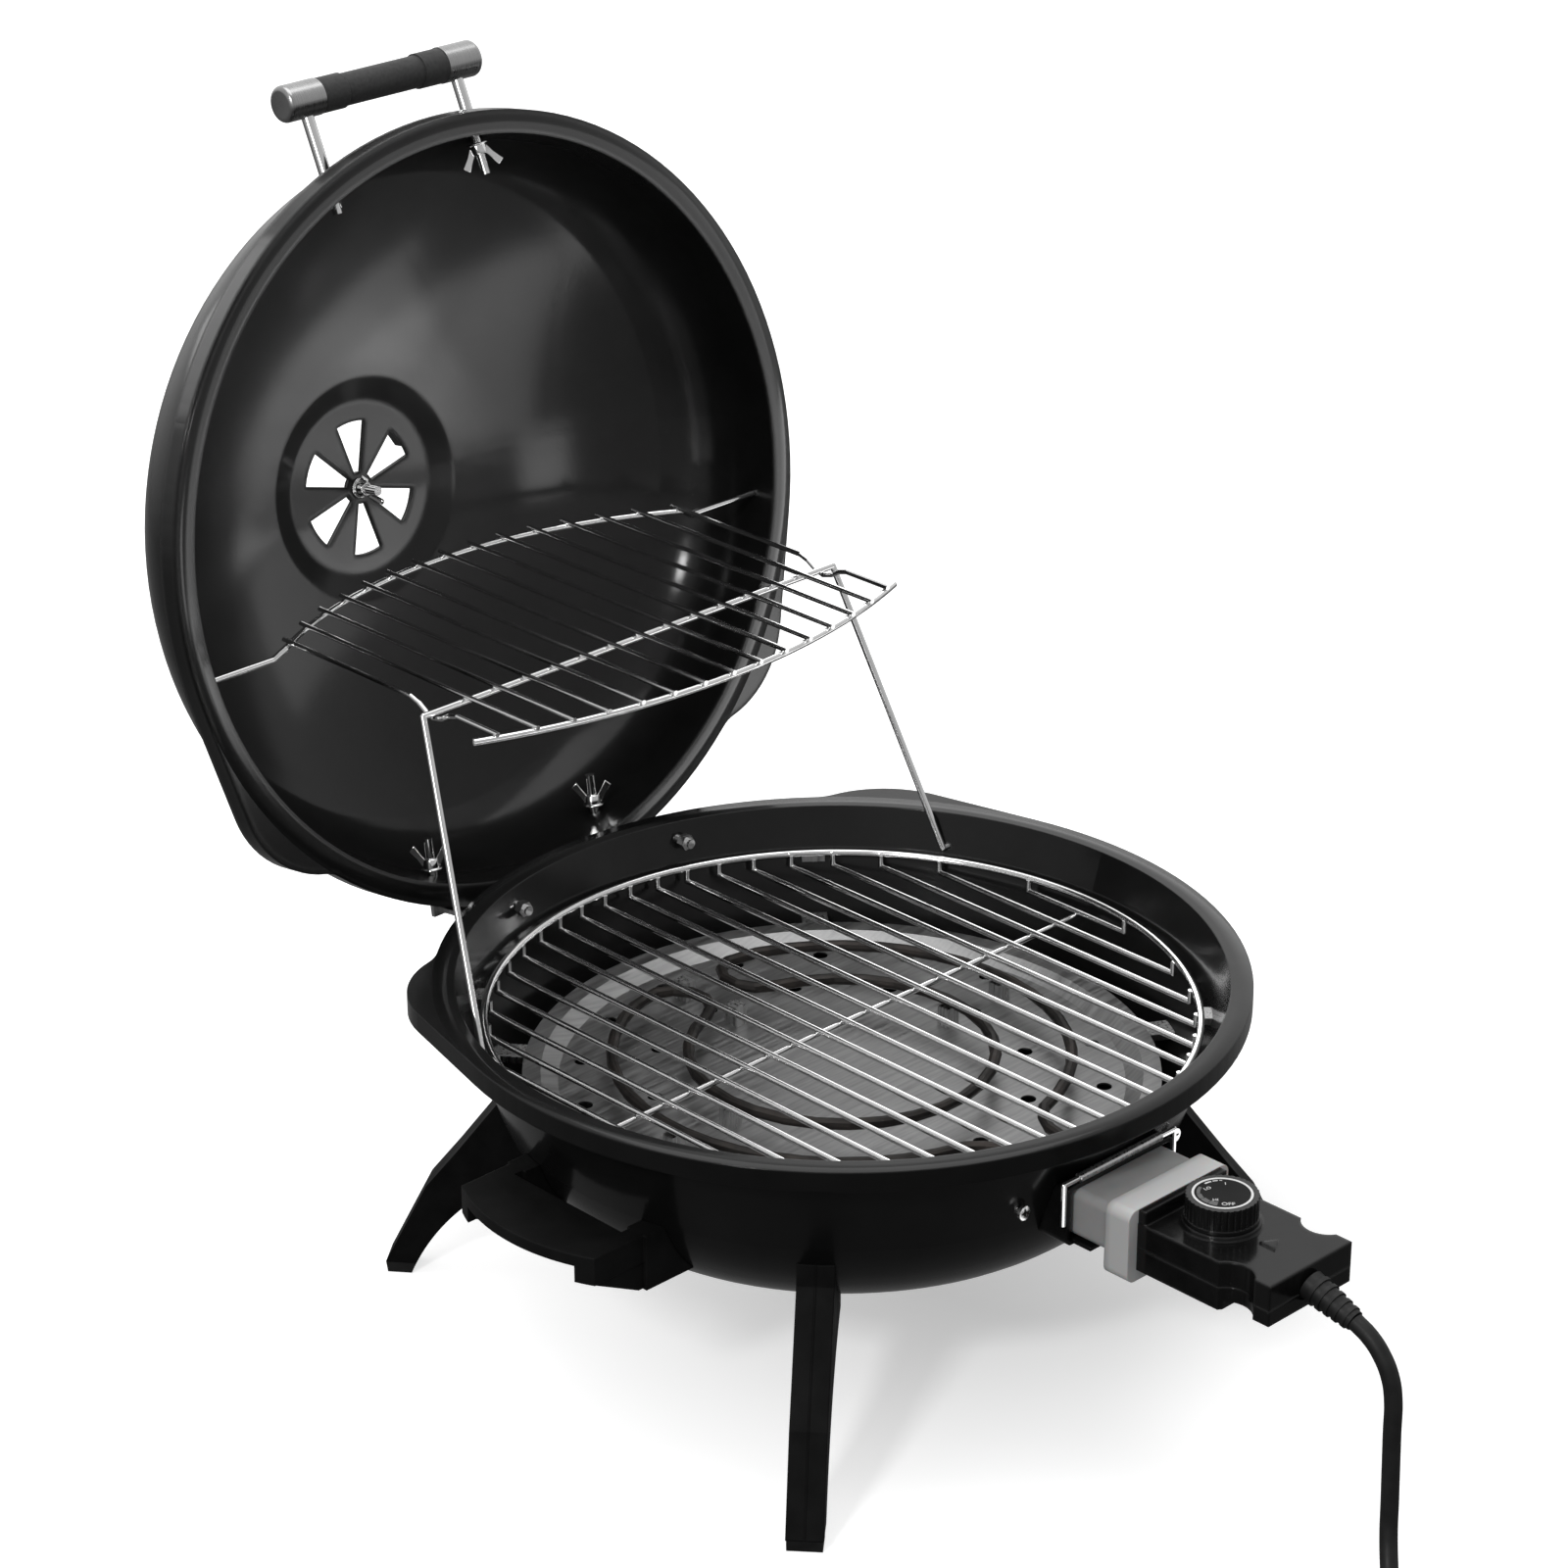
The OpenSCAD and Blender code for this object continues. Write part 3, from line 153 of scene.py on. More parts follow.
def make_cord():
    points = cord_points()
    data = bpy.data.curves.new("cord", "CURVE")
    data.dimensions = "3D"
    # Each point's radius gives the thickness, because a curve's bounds grow by that radius
    data.bevel_depth = 1.0
    data.bevel_resolution = CORD_ROUNDING
    data.resolution_u = CORD_CUTS
    data.use_fill_caps = True
    spline = data.splines.new("BEZIER")
    spline.bezier_points.add(len(points) - 1)
    for point, place in zip(spline.bezier_points, points):
        point.co = place
        point.radius = CORD_R * MM
        point.handle_left_type = point.handle_right_type = "AUTO"
    cord = bpy.data.objects.new("cord", data)
    scene.collection.objects.link(cord)
    bpy.context.view_layer.update()
    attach(cord, "control_body")
    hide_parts("cord_tube", "cord_coil", "cord_tail")
    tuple(points[0])
    return cord


cord = make_cord()


# Materials, in metres
NOISE_SPAN, WIDE_SPAN = (0.3, 0.7), (0.25, 0.75)
BEVEL_SAMPLES = 6


def grey(value):
    return (value, value, value)


class Look:
    """A material's node tree with its principled shader and object coordinates."""

    def __init__(self, name, base, rough, metal=0.0, **sockets):
        self.mat = bpy.data.materials.new(name)
        self.mat.use_nodes = True
        self.tree = self.mat.node_tree
        self.shader = self.tree.nodes["Principled BSDF"]
        self.set("Base Color", (*grey(base), 1))
        self.set("Roughness", rough)
        self.set("Metallic", metal)
        for key, value in sockets.items():
            self.set(key.replace("_", " "), value)
        self.coords = self.add("ShaderNodeTexCoord").outputs["Object"]
        self.normal = None

    def set(self, key, value):
        self.shader.inputs[key].default_value = value

    def add(self, kind, **values):
        node = self.tree.nodes.new(kind)
        for key, value in values.items():
            setattr(node, key, value)
        return node

    def link(self, a, b):
        self.tree.links.new(a, b)

    def operate(self, kind, operation, socket, value=None):
        """A math or vector math node on a socket and a fixed second value."""
        node = self.add(kind, operation=operation)
        self.link(socket, node.inputs[0])
        if value is not None:
            node.inputs[1].default_value = value
        return node

    def vector(self, operation, socket, value=None):
        return self.operate("ShaderNodeVectorMath", operation, socket, value).outputs["Vector"]

    def measure(self, operation, socket, value=None):
        return self.operate("ShaderNodeVectorMath", operation, socket, value).outputs["Value"]

    def number(self, operation, socket, value=None):
        return self.operate("ShaderNodeMath", operation, socket, value).outputs["Value"]

    def noise(self, scale, detail, stretch=(1, 1, 1)):
        mapping = self.add("ShaderNodeMapping")
        mapping.inputs["Scale"].default_value = stretch
        self.link(self.coords, mapping.inputs["Vector"])
        noise = self.add("ShaderNodeTexNoise")
        noise.inputs["Scale"].default_value = scale
        noise.inputs["Detail"].default_value = detail
        self.link(mapping.outputs["Vector"], noise.inputs["Vector"])
        return noise.outputs["Fac"]

    def spread(self, fac, low, high, span=NOISE_SPAN):
        node = self.add("ShaderNodeMapRange")
        for key, value in (("From Min", span[0]), ("From Max", span[1]), ("To Min", low), ("To Max", high)):
            node.inputs[key].default_value = value
        self.link(fac, node.inputs["Value"])
        return node.outputs["Result"]

    def tint(self, fac, *stops):
        ramp = self.add("ShaderNodeValToRGB")
        while len(ramp.color_ramp.elements) < len(stops):
            ramp.color_ramp.elements.new(0.5)
        for element, (place, colour) in zip(ramp.color_ramp.elements, stops):
            element.position = place
            element.color = (*colour, 1)
        self.link(fac, ramp.inputs["Fac"])
        self.link(ramp.outputs["Color"], self.shader.inputs["Base Color"])

    def shade(self, fac, low, high, span=NOISE_SPAN):
        """Grey that drifts between two values."""
        self.tint(fac, (span[0], grey(low)), (span[1], grey(high)))

    def rough(self, fac, low, high):
        self.link(self.spread(fac, low, high), self.shader.inputs["Roughness"])

    def bump(self, fac, strength, depth, edge=0.0):
        """Fine relief on the relief so far; with an edge radius, sharp edges are shaded as if rounded."""
        node = self.add("ShaderNodeBump")
        node.inputs["Strength"].default_value = strength
        node.inputs["Distance"].default_value = depth
        self.link(fac, node.inputs["Height"])
        if edge:
            bevel = self.add("ShaderNodeBevel", samples=BEVEL_SAMPLES)
            bevel.inputs["Radius"].default_value = edge
            self.normal = bevel.outputs["Normal"]
        if self.normal:
            self.link(self.normal, node.inputs["Normal"])
        self.normal = node.outputs["Normal"]
        self.link(self.normal, self.shader.inputs["Normal"])
        self.link(self.normal, self.shader.inputs["Coat Normal"])


# Gloss enamel of bowl, lid and damper, with the flanges' rolled outer part as relief
BOWL_CENTRE, BOWL_AXIS, BOWL_RIM = (0.0, -0.046, 0.0), (0.0, 0.0, 1.0), 0.235
LID_CENTRE, LID_AXIS, LID_RIM = (0.0, 0.24409, 0.41344), (0.0, 0.98823, -0.15299), 0.239
ROLL_WIDTH, ROLL_DROP, ROLL_POWER = 0.009, 0.0026, 2.0
ENAMEL_EDGE, LID_EDGE = 0.0012, 0.0042


def roll_flange(look, centre, axis, radius):
    """Relief that falls towards a round flange's outer edge."""
    off = look.vector("SUBTRACT", look.coords, centre)
    away = look.measure("LENGTH", look.vector("CROSS_PRODUCT", off, axis))
    share = look.spread(away, 0.0, 1.0, (radius - ROLL_WIDTH, radius))
    fall = look.number("POWER", share, ROLL_POWER)
    return look.spread(fall, 1.0, 0.0, (0.0, 1.0))


def enamel_look(name, edge=ENAMEL_EDGE, flange=None):
    look = Look(name, 0.004, 0.5, Specular_IOR_Level=0.1, Coat_Weight=1.0, Coat_Roughness=0.14, Coat_IOR=1.32)
    look.shade(look.noise(scale=35, detail=4), 0.003, 0.005)
    look.rough(look.noise(scale=22, detail=5), 0.42, 0.52)
    if flange:
        look.bump(roll_flange(look, *flange), strength=1.0, depth=ROLL_DROP, edge=edge)
        edge = 0.0
    look.bump(look.noise(scale=420, detail=3), strength=0.05, depth=0.0004, edge=edge)
    return look.mat


# Plastics
SATIN_EDGE, SEAM_HALF, SEAM_TOP, SEAM_RISE = 0.0011, 0.0007, 0.00028, 0.0004


def satin_look(name, base, level):
    look = Look(name, base, 0.5, Specular_IOR_Level=level)
    look.shade(look.noise(scale=60, detail=4), 0.004, 0.008)
    look.rough(look.noise(scale=40, detail=4), 0.46, 0.6)
    return look


def plastic_look():
    look = satin_look("satin_plastic", 0.006, 0.16)
    look.bump(look.noise(scale=2600, detail=2), strength=0.12, depth=0.0003, edge=SATIN_EDGE)
    return look.mat


def leg_look(azimuth):
    """Satin plastic with the mould's parting line along the middle of a leg."""
    look = satin_look("leg_plastic", 0.005, 0.06)
    off = look.vector("SUBTRACT", look.coords, BOWL_CENTRE)
    away = look.number("ABSOLUTE", look.measure("DOT_PRODUCT", off, flat(azimuth + 90)))
    ridge = look.spread(away, 1.0, 0.0, (SEAM_TOP, SEAM_HALF))
    look.bump(ridge, strength=1.0, depth=SEAM_RISE, edge=SATIN_EDGE)
    return look.mat


def gloss_plastic_look(name, level, rough, edge):
    look = Look(name, 0.006, rough, Specular_IOR_Level=level)
    look.shade(look.noise(scale=50, detail=3), 0.004, 0.008)
    look.rough(look.noise(scale=90, detail=4), rough - 0.04, rough + 0.05)
    look.bump(look.noise(scale=900, detail=2), strength=0.05, depth=0.0002, edge=edge)
    return look.mat


def grip_look():
    look = Look("foam_grip", 0.03, 0.6, Specular_IOR_Level=0.35, Sheen_Weight=0.15, Sheen_Roughness=0.4)
    look.shade(look.noise(scale=500, detail=4), 0.024, 0.038)
    look.rough(look.noise(scale=300, detail=3), 0.5, 0.66)
    look.bump(look.noise(scale=3000, detail=2), strength=0.25, depth=0.0003, edge=0.0008)
    return look.mat


# The shroud's collar, at its front end, is lighter than its body
COLLAR_START, COLLAR_FADE, CLOUDING = 0.012, 0.006, 0.25


def frosted_look():
    look = Look("frosted_plastic", 0.4, 0.35, Subsurface_Weight=0.25, Subsurface_Scale=0.004)
    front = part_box("control_shroud")[0][1] + COLLAR_START
    place = look.add("ShaderNodeSeparateXYZ")
    look.link(look.coords, place.inputs["Vector"])
    collar = look.spread(place.outputs["Y"], 1.0, 0.0, (front, front + COLLAR_FADE))
    cloudy = look.operate("ShaderNodeMath", "MULTIPLY_ADD", look.noise(scale=70, detail=4), CLOUDING)
    look.link(collar, cloudy.inputs[2])
    look.tint(cloudy.outputs["Value"], (0.0, grey(0.3)), (CLOUDING, grey(0.4)), (1.0, grey(0.56)))
    look.rough(look.noise(scale=150, detail=3), 0.28, 0.42)
    look.bump(look.noise(scale=1800, detail=2), strength=0.1, depth=0.0002, edge=0.0012)
    return look.mat


def rubber_look():
    look = Look("cord_rubber", 0.013, 0.5, Specular_IOR_Level=0.28)
    look.shade(look.noise(scale=80, detail=4), 0.009, 0.017)
    look.rough(look.noise(scale=200, detail=3), 0.42, 0.58)
    look.bump(look.noise(scale=1600, detail=3), strength=0.12, depth=0.0002)
    return look.mat


# Metals
def chrome_look():
    look = Look("bright_wire", 0.8, 0.12, 1.0)
    look.shade(look.noise(scale=60, detail=3), 0.76, 0.84, WIDE_SPAN)
    look.rough(look.noise(scale=90, detail=3), 0.09, 0.16)
    look.bump(look.noise(scale=700, detail=2), strength=0.02, depth=0.0001)
    return look.mat


def brushed_look(name, stretch, base=0.6, rough=(0.22, 0.4), contrast=0.25, relief=0.12):
    look = Look(name, base, 0.3, 1.0)
    lines = look.noise(scale=14, detail=5, stretch=stretch)
    look.shade(lines, base * (1 - contrast), base * (1 + contrast), WIDE_SPAN)
    look.rough(lines, *rough)
    look.bump(lines, strength=relief, depth=0.0002)
    return look.mat


def element_look():
    look = Look("heating_sheath", 0.12, 0.45, 0.8)
    dark, brown, straw = (0.016, 0.015, 0.015), (0.035, 0.032, 0.03), (0.06, 0.05, 0.045)
    look.tint(look.noise(scale=45, detail=4), (0.2, dark), (0.5, brown), (0.8, straw))
    look.rough(look.noise(scale=120, detail=4), 0.35, 0.6)
    look.bump(look.noise(scale=1500, detail=3), strength=0.15, depth=0.0002)
    return look.mat


def ink_look(name, value):
    look = Look(name, value, 0.5)
    look.shade(look.noise(scale=900, detail=3), value * 0.85, value)
    look.rough(look.noise(scale=600, detail=2), 0.45, 0.6)
    return look.mat


# One look for each of the record's slots, and others for single nodes
LOOKS = {
    "enamel": enamel_look("black_enamel"),
    "matte_plastic": plastic_look(),
    "foot_pad": rubber_look(),
    "steel": brushed_look("brushed_steel", stretch=(40, 40, 2)),
    "chrome": chrome_look(),
    "element": element_look(),
    "socket_enamel": gloss_plastic_look("socket_enamel", level=0.28, rough=0.15, edge=0.001),
    "frosted": frosted_look(),
    "gloss_plastic": gloss_plastic_look("gloss_plastic", level=0.3, rough=0.15, edge=0.0025),
    "cord": rubber_look(),
}
CAP_LOOK = brushed_look("turned_cap", stretch=(130, 3, 3), base=0.42, rough=(0.24, 0.34), contrast=0.12,
                        relief=0.04)
NODE_LOOKS = {
    "bowl": enamel_look("bowl_enamel", flange=(BOWL_CENTRE, BOWL_AXIS, BOWL_RIM)),
    "lid": enamel_look("lid_enamel", edge=LID_EDGE, flange=(LID_CENTRE, LID_AXIS, LID_RIM)),
    "reflector_pan": brushed_look("reflector_sheet", stretch=(2, 30, 2), base=0.34, rough=(0.3, 0.5)),
    "handle_cap_left": CAP_LOOK,
    "handle_cap_right": CAP_LOOK,
    "handle_grip": grip_look(),
    "knob": gloss_plastic_look("knob_plastic", level=0.5, rough=0.25, edge=0.0004),
    "knob_dial": gloss_plastic_look("dial_plate", level=0.08, rough=0.32, edge=0.0004),
}
LEG_AZIMUTHS = {"leg_front_left": -139.0, "leg_front_right": -41.0,
                "leg_rear_left": 129.0, "leg_rear_right": 51.0}
NODE_LOOKS.update({name: leg_look(azimuth) for name, azimuth in LEG_AZIMUTHS.items()})
WHITE_INK, GREY_INK = ink_look("white_ink", 0.8), ink_look("grey_ink", 0.12)


def paint(obj, mat):
    obj.data.materials.clear()
    obj.data.materials.append(mat)


for part in frame["record"]["subparts"]:
    paint(nodes[part["node"]], NODE_LOOKS.get(part["node"], LOOKS[part["material_slot"]]))
paint(cord, LOOKS["cord"])


# Making of the scene's own pieces
def add_prism(bm, outline, low, high, place):
    """Closed prism of an outline between two levels, put in the frame by place(u, v, level)."""
    ends = [[bm.verts.new(place(u, v, level)) for u, v in outline] for level in (low, high)]
    bm.faces.new(ends[0])
    bm.faces.new(ends[1][::-1])
    for k in range(len(outline)):
        after = (k + 1) % len(outline)
        bm.faces.new((ends[0][k], ends[0][after], ends[1][after], ends[1][k]))


def mesh_piece(name, bm):
    data = bpy.data.meshes.new(name)
    bmesh.ops.recalc_face_normals(bm, faces=bm.faces)
    bm.to_mesh(data)
    bm.free()
    return bpy.data.objects.new(name, data)


def fit(obj, mat, body):
    """Put a piece in the scene, with its material and body."""
    scene.collection.objects.link(obj)
    bpy.context.view_layer.update()
    paint(obj, mat)
    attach(obj, body)


def round_edges(obj, width, segments):
    bevel = obj.modifiers.new("round", "BEVEL")
    bevel.width, bevel.segments = width, segments


# Thin films, which carry the marks on the knob and the painted shade of the screws' cross recesses
FILM = 0.00012


def film(name, outlines, place, mat, body, tilt=0.0):
    bm = bmesh.new()
    for outline in outlines:
        add_prism(bm, outline, 0, FILM, lambda u, v, level: (u, v, level))
    obj = mesh_piece(name, bm)
    obj.location = place
    obj.rotation_euler.x = math.radians(tilt)
    fit(obj, mat, body)


# Dial marks on the knob: radii as shares of the dial's, angles in degrees from the camera's right
RING_SPAN, RING_PARTS, RING_STEPS = (0.9, 0.98), 8, 8
SCALE_R, SCALE_STEPS, DASH_STEPS = 0.82, 6, 3
SCALE_ARCS = ((150, 182, 0.11), (184, 205, 0.15), (207, 228, 0.19), (230, 252, 0.23))
DASH_ARCS = ((112, 130, 0.06), (96, 108, 0.045), (86, 92, 0.03))
# Text, its place across and up as shares of the radius, its size in metres and its tilt
DIAL_WORDS = (("OFF", 0.12, -0.68, 0.0042, 0), ("HI", -0.26, -0.42, 0.0034, 0),
              ("LO", -0.45, 0.3, 0.0034, 30), ("1", 0.14, 0.6, 0.0036, 0))


def arc_outline(inner, outer, start, end, steps):
    angles = [start + (end - start) * k / steps for k in range(steps + 1)]
    rim = [(outer * cos(a), outer * sin(a)) for a in angles]
    return rim + [(inner * cos(a), inner * sin(a)) for a in reversed(angles)]


def dial_arcs(arcs, radius, steps):
    outer = SCALE_R * radius
    return [arc_outline(outer - width * radius, outer, CAM_AZIMUTH + start, CAM_AZIMUTH + end, steps)
            for start, end, width in arcs]


def word(text, place, size, tilt):
    name = "mark_" + text
    data = bpy.data.curves.new(name, "FONT")
    data.body = text
    data.size = size
    data.extrude = FILM / 2
    data.align_x, data.align_y = "CENTER", "CENTER"
    obj = bpy.data.objects.new(name, data)
    obj.location = place
    obj.rotation_euler.z = math.radians(tilt)
    fit(obj, WHITE_INK, "knob_body")


def make_dial():
    low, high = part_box("knob_dial")
    radius = (high[0] - low[0]) / 2
    centre = Vector(((low[0] + high[0]) / 2, (low[1] + high[1]) / 2, high[2]))
    inner, outer = (share * radius for share in RING_SPAN)
    span = 360 / RING_PARTS
    ring = [arc_outline(inner, outer, span * k, span * k + span, RING_STEPS) for k in range(RING_PARTS)]
    for name, outlines, ink in (("dial_ring", ring, WHITE_INK),
                                ("dial_scale", dial_arcs(SCALE_ARCS, radius, SCALE_STEPS), GREY_INK),
                                ("dial_dashes", dial_arcs(DASH_ARCS, radius, DASH_STEPS), WHITE_INK)):
        film(name, outlines, centre, ink, "knob_body")
    across, up = flat(CAM_AZIMUTH), flat(CAM_AZIMUTH + 90)
    for text, u, v, size, tilt in DIAL_WORDS:
        word(text, centre + radius * (u * across + v * up) + upward(FILM / 2), size, CAM_AZIMUTH + tilt)


make_dial()


# Cross recesses of the two socket screws, painted as shade on thin dark films
CROSS_ARM, CROSS_HALF, SCREW_R = 0.0026, 0.0006, 0.0042


def make_cross_shades():
    low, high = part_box("socket_screws")
    a, w = CROSS_ARM, CROSS_HALF
    quarter = ((w, w), (w, a), (-w, a))
    cross = []
    for _ in range(4):
        cross += quarter
        quarter = [(-y, x) for x, y in quarter]
    # Each screw gets a dark film that paints the shade of its cross recess
    for side, x in (("left", low[0] + SCREW_R), ("right", high[0] - SCREW_R)):
        film("screw_cross_shade_" + side, [cross], (x, low[1], (low[2] + high[2]) / 2), LOOKS["element"],
             "bowl_body", tilt=90)


make_cross_shades()


# Gussets that carry the side handles' arms down to their blocks on the bowl
GUSSET_X, GUSSET_Z, GUSSET_TIP, GUSSET_FOOT = (0.2062, 0.241), (0.1122, 0.1292), 0.001, 0.004
GUSSET_Y = {"front": (-0.1005, -0.0905), "rear": (-0.0015, 0.0085)}
GUSSET_ROUND, GUSSET_SEGMENTS = 0.0008, 3


def make_gusset(name, side, y_span):
    (x0, x1), (z0, z1) = GUSSET_X, GUSSET_Z
    outline = ((x0, z1), (x1, z1), (x1, z1 - GUSSET_TIP), (x0 + GUSSET_FOOT, z0), (x0, z0))
    bm = bmesh.new()
    add_prism(bm, outline, *y_span, lambda u, v, level: (side * u, level, v))
    obj = mesh_piece(name, bm)
    round_edges(obj, GUSSET_ROUND, GUSSET_SEGMENTS)
    fit(obj, LOOKS["matte_plastic"], "bowl_body")


for side_name, side in (("left", -1), ("right", 1)):
    for end_name, y_span in GUSSET_Y.items():
        make_gusset("side_gusset_" + side_name + "_" + end_name, side, y_span)


# Wing nuts, seated where the model's plainer ones are: bored hub on a washer, and two flat flared wings
NUT_STEPS, NUT_BORE, WING_HALF = 32, 2.95, 1.0
NUT_PROFILE = ((0, NUT_BORE), (0, 6.6), (1.2, 6.6), (1.2, 5.2), (5.5, 4.8), (7.2, 4.2), (7.2, NUT_BORE))
WING_OUTLINE = ((3.4, 2.2), (5.6, 2.4), (8.2, 7.0), (12.6, 12.6), (9.0, 15.8), (5.4, 9.6), (3.4, 6.8))
NUT_ROUND, NUT_SEGMENTS, NUT_SHARP, SEAT_SLACK = 0.0004, 2, 35, 0.0001
POST_LEAN, HANDLE_NUT_TURN, HINGE_NUT_TURN, VENT_NUT_TURN = 16.0, 38.0, 45.0, 58.0
LID_UP = Vector(LID_AXIS)
LID_BACK = LID_UP.cross(RIGHT)


def turned(first, second, angle):
    return cos(angle) * first + sin(angle) * second


def nut_centre(node, side, axis, across, beside):
    """Middle of the seat of a node's nut on one side, or of its only nut where side is 0."""
    points = [v.co for v in nodes[node].data.vertices if side == 0 or v.co.x * side > 0]
    seat = min(point.dot(axis) for point in points)
    ring = [point for point in points if point.dot(axis) < seat + SEAT_SLACK]

    def middle(way):
        along = [point.dot(way) for point in ring]
        return (min(along) + max(along)) / 2 * way

    return seat * axis + middle(across) + middle(beside)


def add_hub(bm, place):
    rings = []
    for k in range(NUT_STEPS):
        angle = 360 * k / NUT_STEPS
        rings.append([bm.verts.new(place(r * cos(angle), up, r * sin(angle))) for up, r in NUT_PROFILE])
    for ring, after in zip(rings, rings[1:] + rings[:1]):
        for i in range(len(NUT_PROFILE)):
            n = (i + 1) % len(NUT_PROFILE)
            bm.faces.new((ring[i], ring[n], after[n], after[i]))


def add_nut(bm, centre, axis, across, beside):
    def place(out, up, thick):
        return centre + MM * (out * across + up * axis + thick * beside)

    add_hub(bm, place)
    for hand in (-1, 1):
        wing = [(hand * out, up) for out, up in WING_OUTLINE]
        add_prism(bm, wing, -WING_HALF, WING_HALF, place)


def make_wing_nuts(name, node, rows):
    bm = bmesh.new()
    for side, axis, across in rows:
        beside = axis.cross(across)
        add_nut(bm, nut_centre(node, side, axis, across, beside), axis, across, beside)
    obj = mesh_piece(name, bm)
    obj.data.shade_smooth()
    obj.data.set_sharp_from_angle(angle=math.radians(NUT_SHARP))
    round_edges(obj, NUT_ROUND, NUT_SEGMENTS)
    fit(obj, LOOKS["chrome"], "lid_body")
    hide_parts(node)
    return obj


def make_all_wing_nuts():
    post_axis = turned(LID_BACK, -LID_UP, POST_LEAN)
    post_side = post_axis.cross(RIGHT)
    handle = [(side, post_axis, turned(side * RIGHT, post_side, HANDLE_NUT_TURN)) for side in (-1, 1)]
    hinge = [(side, -LID_BACK, turned(RIGHT, -LID_UP, HINGE_NUT_TURN)) for side in (-1, 1)]
    vent = [(0, -LID_UP, turned(RIGHT, LID_BACK, VENT_NUT_TURN))]
    return [make_wing_nuts("handle_nuts", "handle_wing_nuts", handle),
            make_wing_nuts("hinge_nuts", "hinge_wing_nuts", hinge),
            make_wing_nuts("vent_nut", "vent_wing_nut", vent)]


WING_NUTS = make_all_wing_nuts()


# Floor: it glows so that shadows stay pale, and glows less around a point under the bowl, which paints a soft
# shadow there. Gloss doesn't show it
FLOOR_HALF, FLOOR_DROP, FLOOR_ALBEDO, FLOOR_DRIFT = 25, 0.0004, 0.8, 1.02
PAINTED_SHADOW_CENTRE, PAINTED_SHADOW_GLOW, FAR_GLOW, PAINTED_SHADOW_REACH = (0.16, -0.08, 0.0), 0.36, 0.72, (0.12, 0.42)


def make_floor():
    bm = bmesh.new()
    bmesh.ops.create_grid(bm, x_segments=2, y_segments=2, size=FLOOR_HALF)
    floor = mesh_piece("floor", bm)
    floor.location.z = -FLOOR_DROP
    scene.collection.objects.link(floor)
    look = Look("pale_floor", FLOOR_ALBEDO, 0.9, Specular_IOR_Level=0.0, Emission_Color=(1, 1, 1, 1))
    away = look.measure("DISTANCE", look.coords, PAINTED_SHADOW_CENTRE)
    # Painted shadow: the glow is lowest near the point under the bowl and rises outwards
    look.link(look.spread(away, PAINTED_SHADOW_GLOW, FAR_GLOW, PAINTED_SHADOW_REACH), look.shader.inputs["Emission Strength"])
    look.shade(look.noise(scale=3, detail=2), FLOOR_ALBEDO, FLOOR_ALBEDO * FLOOR_DRIFT)
    paint(floor, look.mat)
    floor.visible_glossy = False
    floor.visible_diffuse = False


make_floor()


# Lights: two for everything, and panels that only the lid's enamel or only the bright metal shows
LID = [nodes["lid"]]
BRIGHT = WING_NUTS + [nodes[part["node"]] for part in frame["record"]["subparts"]
                      if part["material_slot"] == "chrome"]


def make_light(name, place, target, size, radiance, only=()):
    data = bpy.data.lights.new(name, "AREA")
    data.shape = "RECTANGLE"
    data.size, data.size_y = size
    data.energy = radiance * math.pi * size[0] * size[1]
    light = bpy.data.objects.new(name, data)
    if only:
        lit = bpy.data.collections.new(name + "_lights")
        for piece in only:
            lit.objects.link(piece)
        light.light_linking.receiver_collection = lit
    light.location = place
    light.rotation_euler = (Vector(target) - Vector(place)).to_track_quat("-Z", "Y").to_euler()
    light.visible_camera = False
    scene.collection.objects.link(light)


def make_floor_panel(name, place, size, radiance, only):
    """A panel that lies just above the floor and shines straight up."""
    make_light(name, place, (place[0], place[1], 1), size, radiance, only)


# Name, place, target unless it is a floor panel, size, radiance, and what shows it
make_light("key_left", (-2.5, -0.9, 2.0), (0, 0, 0.2), (0.4, 0.4), 60)
make_light("top", (0.3, 0.3, 3.2), (0, 0, 0), (2.6, 2.6), 1.8)
make_floor_panel("floor_right", (1.45, -1.7, 0.012), (2.1, 3.2), 3.0, LID)
make_floor_panel("floor_near", (0.95, -0.55, 0.014), (0.9, 0.8), 1.0, LID)
make_light("front_right", (2.2, -2.0, 0.5), (0, 0.3, 0.45), (2.6, 0.95), 1.3, LID)
make_floor_panel("card_front", (0.25, -0.5, 0.25), (0.26, 1.06), 3.6, LID)
make_light("strip_front", (0.0, -2.9, 0.32), (0, 0.3, 0.42), (0.5, 0.6), 5, LID)
make_light("back_left", (-0.8, 2.6, 1.5), (0, 0.3, 0.4), (1.5, 1.1), 2.2, LID)
make_light("bright_side", (-2.3, -0.7, 1.0), (0, 0.1, 0.3), (0.9, 1.2), 5, BRIGHT)
make_light("bright_back", (1.6, 1.8, 1.4), (0, 0, 0.2), (2.2, 1.4), 2.0, BRIGHT)
make_floor_panel("bright_floor", (0.0, -1.15, 0.016), (3.2, 1.7), 1.6, BRIGHT)


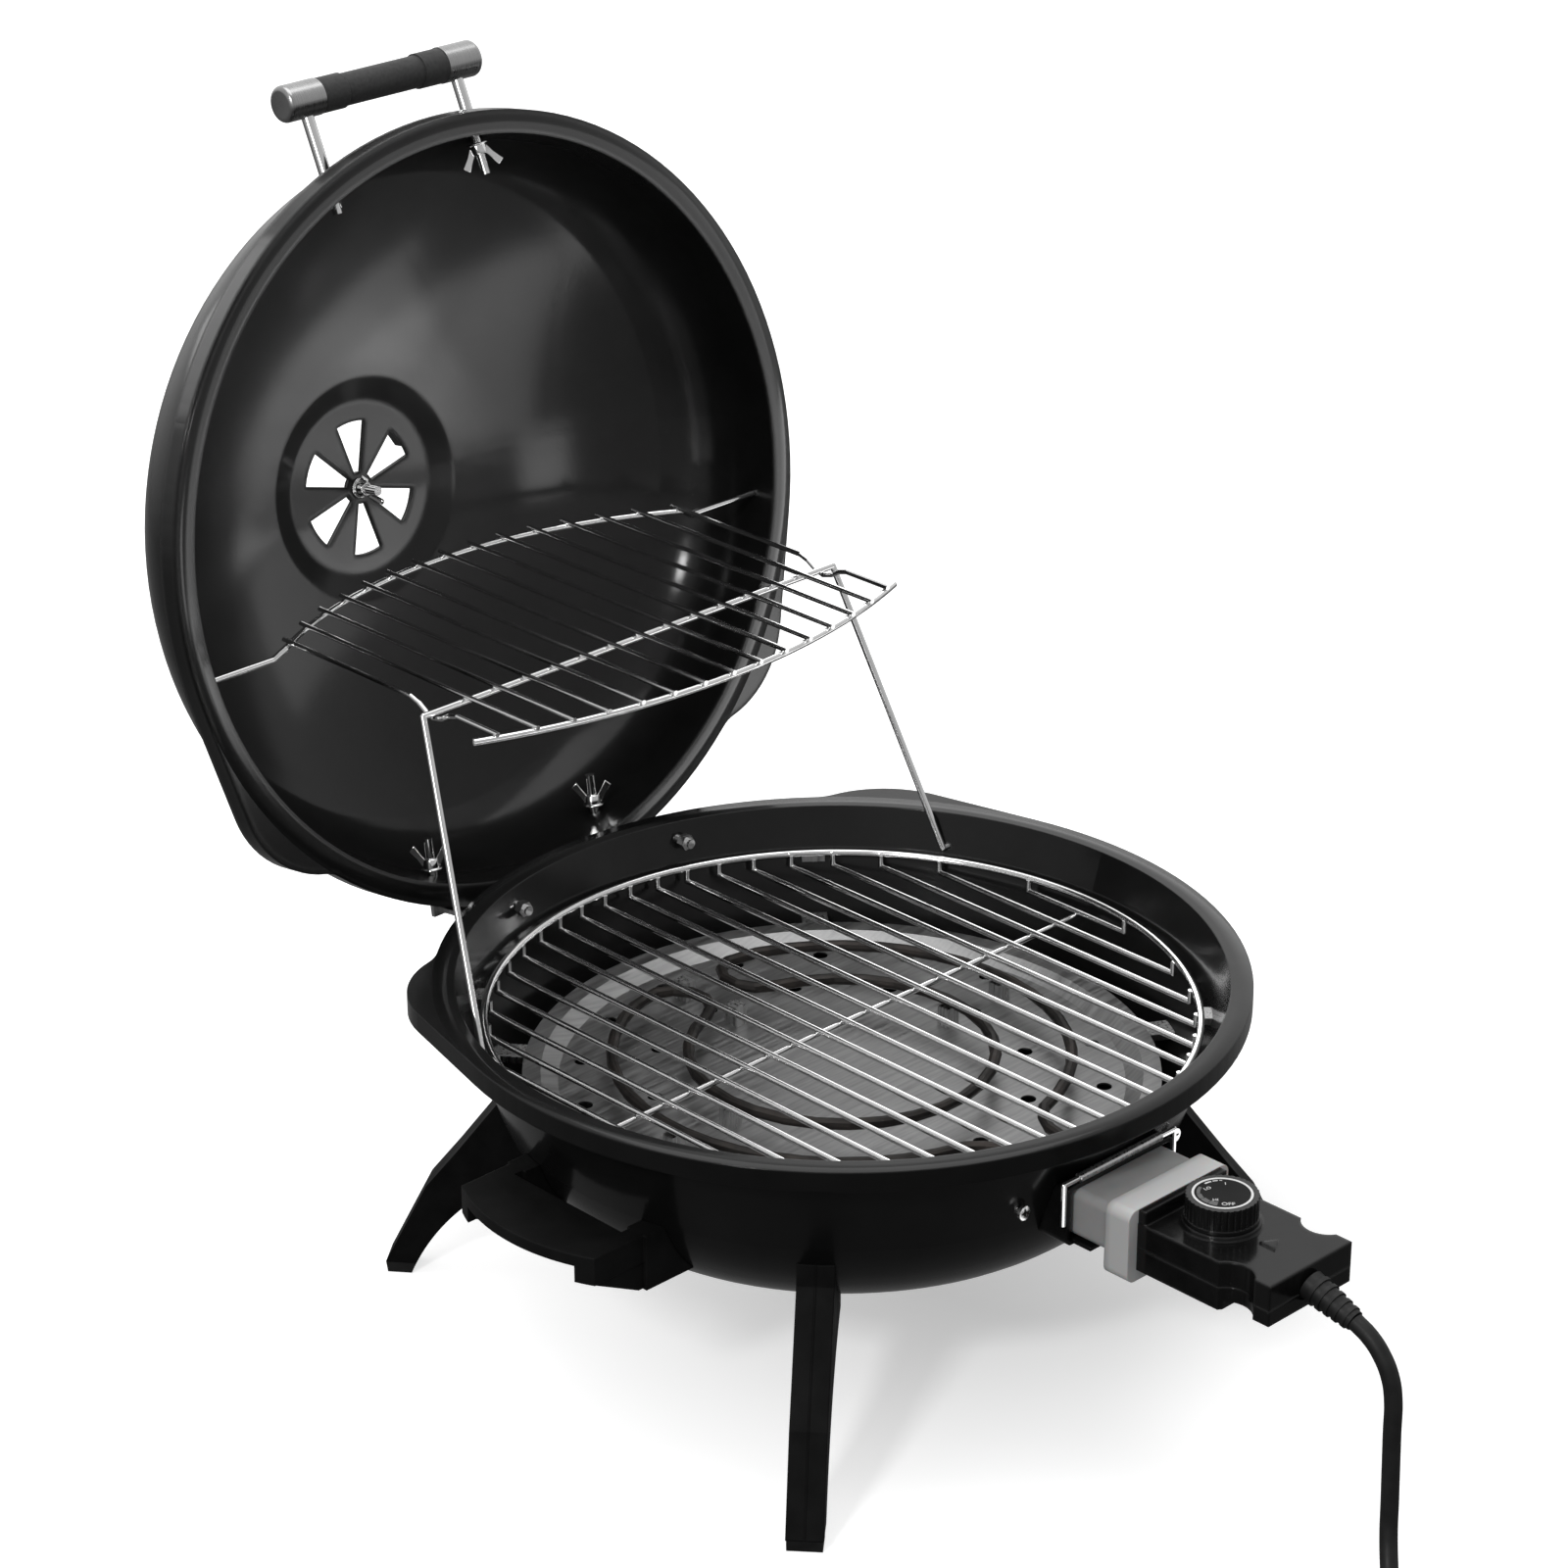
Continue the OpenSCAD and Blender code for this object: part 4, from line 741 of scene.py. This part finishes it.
# Surroundings: white behind the object, and elsewhere a grey that is lighter at the back and dark below
BACK_DIRECTION = (0.66, 0.72, 0.2)
WORLD_RAMP = ((0.0, 0.45), (0.42, 0.5), (0.7, 0.65), (1.0, 1.0))
BELOW_SPAN, BELOW_SHARE = (-0.25, 0.05), 0.2


def make_world():
    world = bpy.data.worlds.new("studio")
    world.use_nodes = True
    tree = world.node_tree
    add, link = tree.nodes.new, tree.links.new
    seen = tree.nodes["Background"]
    seen.inputs["Color"].default_value = (1, 1, 1, 1)
    coords = add("ShaderNodeTexCoord").outputs["Generated"]

    along = add("ShaderNodeVectorMath")
    along.operation = "DOT_PRODUCT"
    along.inputs[1].default_value = Vector(BACK_DIRECTION).normalized()
    link(coords, along.inputs[0])
    share = add("ShaderNodeMapRange")
    share.inputs["From Min"].default_value = -1
    link(along.outputs["Value"], share.inputs["Value"])
    ramp = add("ShaderNodeValToRGB")
    while len(ramp.color_ramp.elements) < len(WORLD_RAMP):
        ramp.color_ramp.elements.new(0.5)
    for element, (place, value) in zip(ramp.color_ramp.elements, WORLD_RAMP):
        element.position = place
        element.color = (*grey(value), 1)
    link(share.outputs["Result"], ramp.inputs["Fac"])

    up = add("ShaderNodeSeparateXYZ")
    link(coords, up.inputs["Vector"])
    below = add("ShaderNodeMapRange")
    for key, value in (("From Min", BELOW_SPAN[0]), ("From Max", BELOW_SPAN[1]), ("To Min", BELOW_SHARE)):
        below.inputs[key].default_value = value
    link(up.outputs["Z"], below.inputs["Value"])
    around = add("ShaderNodeBackground")
    link(ramp.outputs["Color"], around.inputs["Color"])
    link(below.outputs["Result"], around.inputs["Strength"])

    mix = add("ShaderNodeMixShader")
    link(add("ShaderNodeLightPath").outputs["Is Camera Ray"], mix.inputs["Fac"])
    link(around.outputs["Background"], mix.inputs[1])
    link(seen.outputs["Background"], mix.inputs[2])
    link(mix.outputs["Shader"], tree.nodes["World Output"].inputs["Surface"])
    scene.world = world


make_world()
scene.view_settings.view_transform = "Standard"
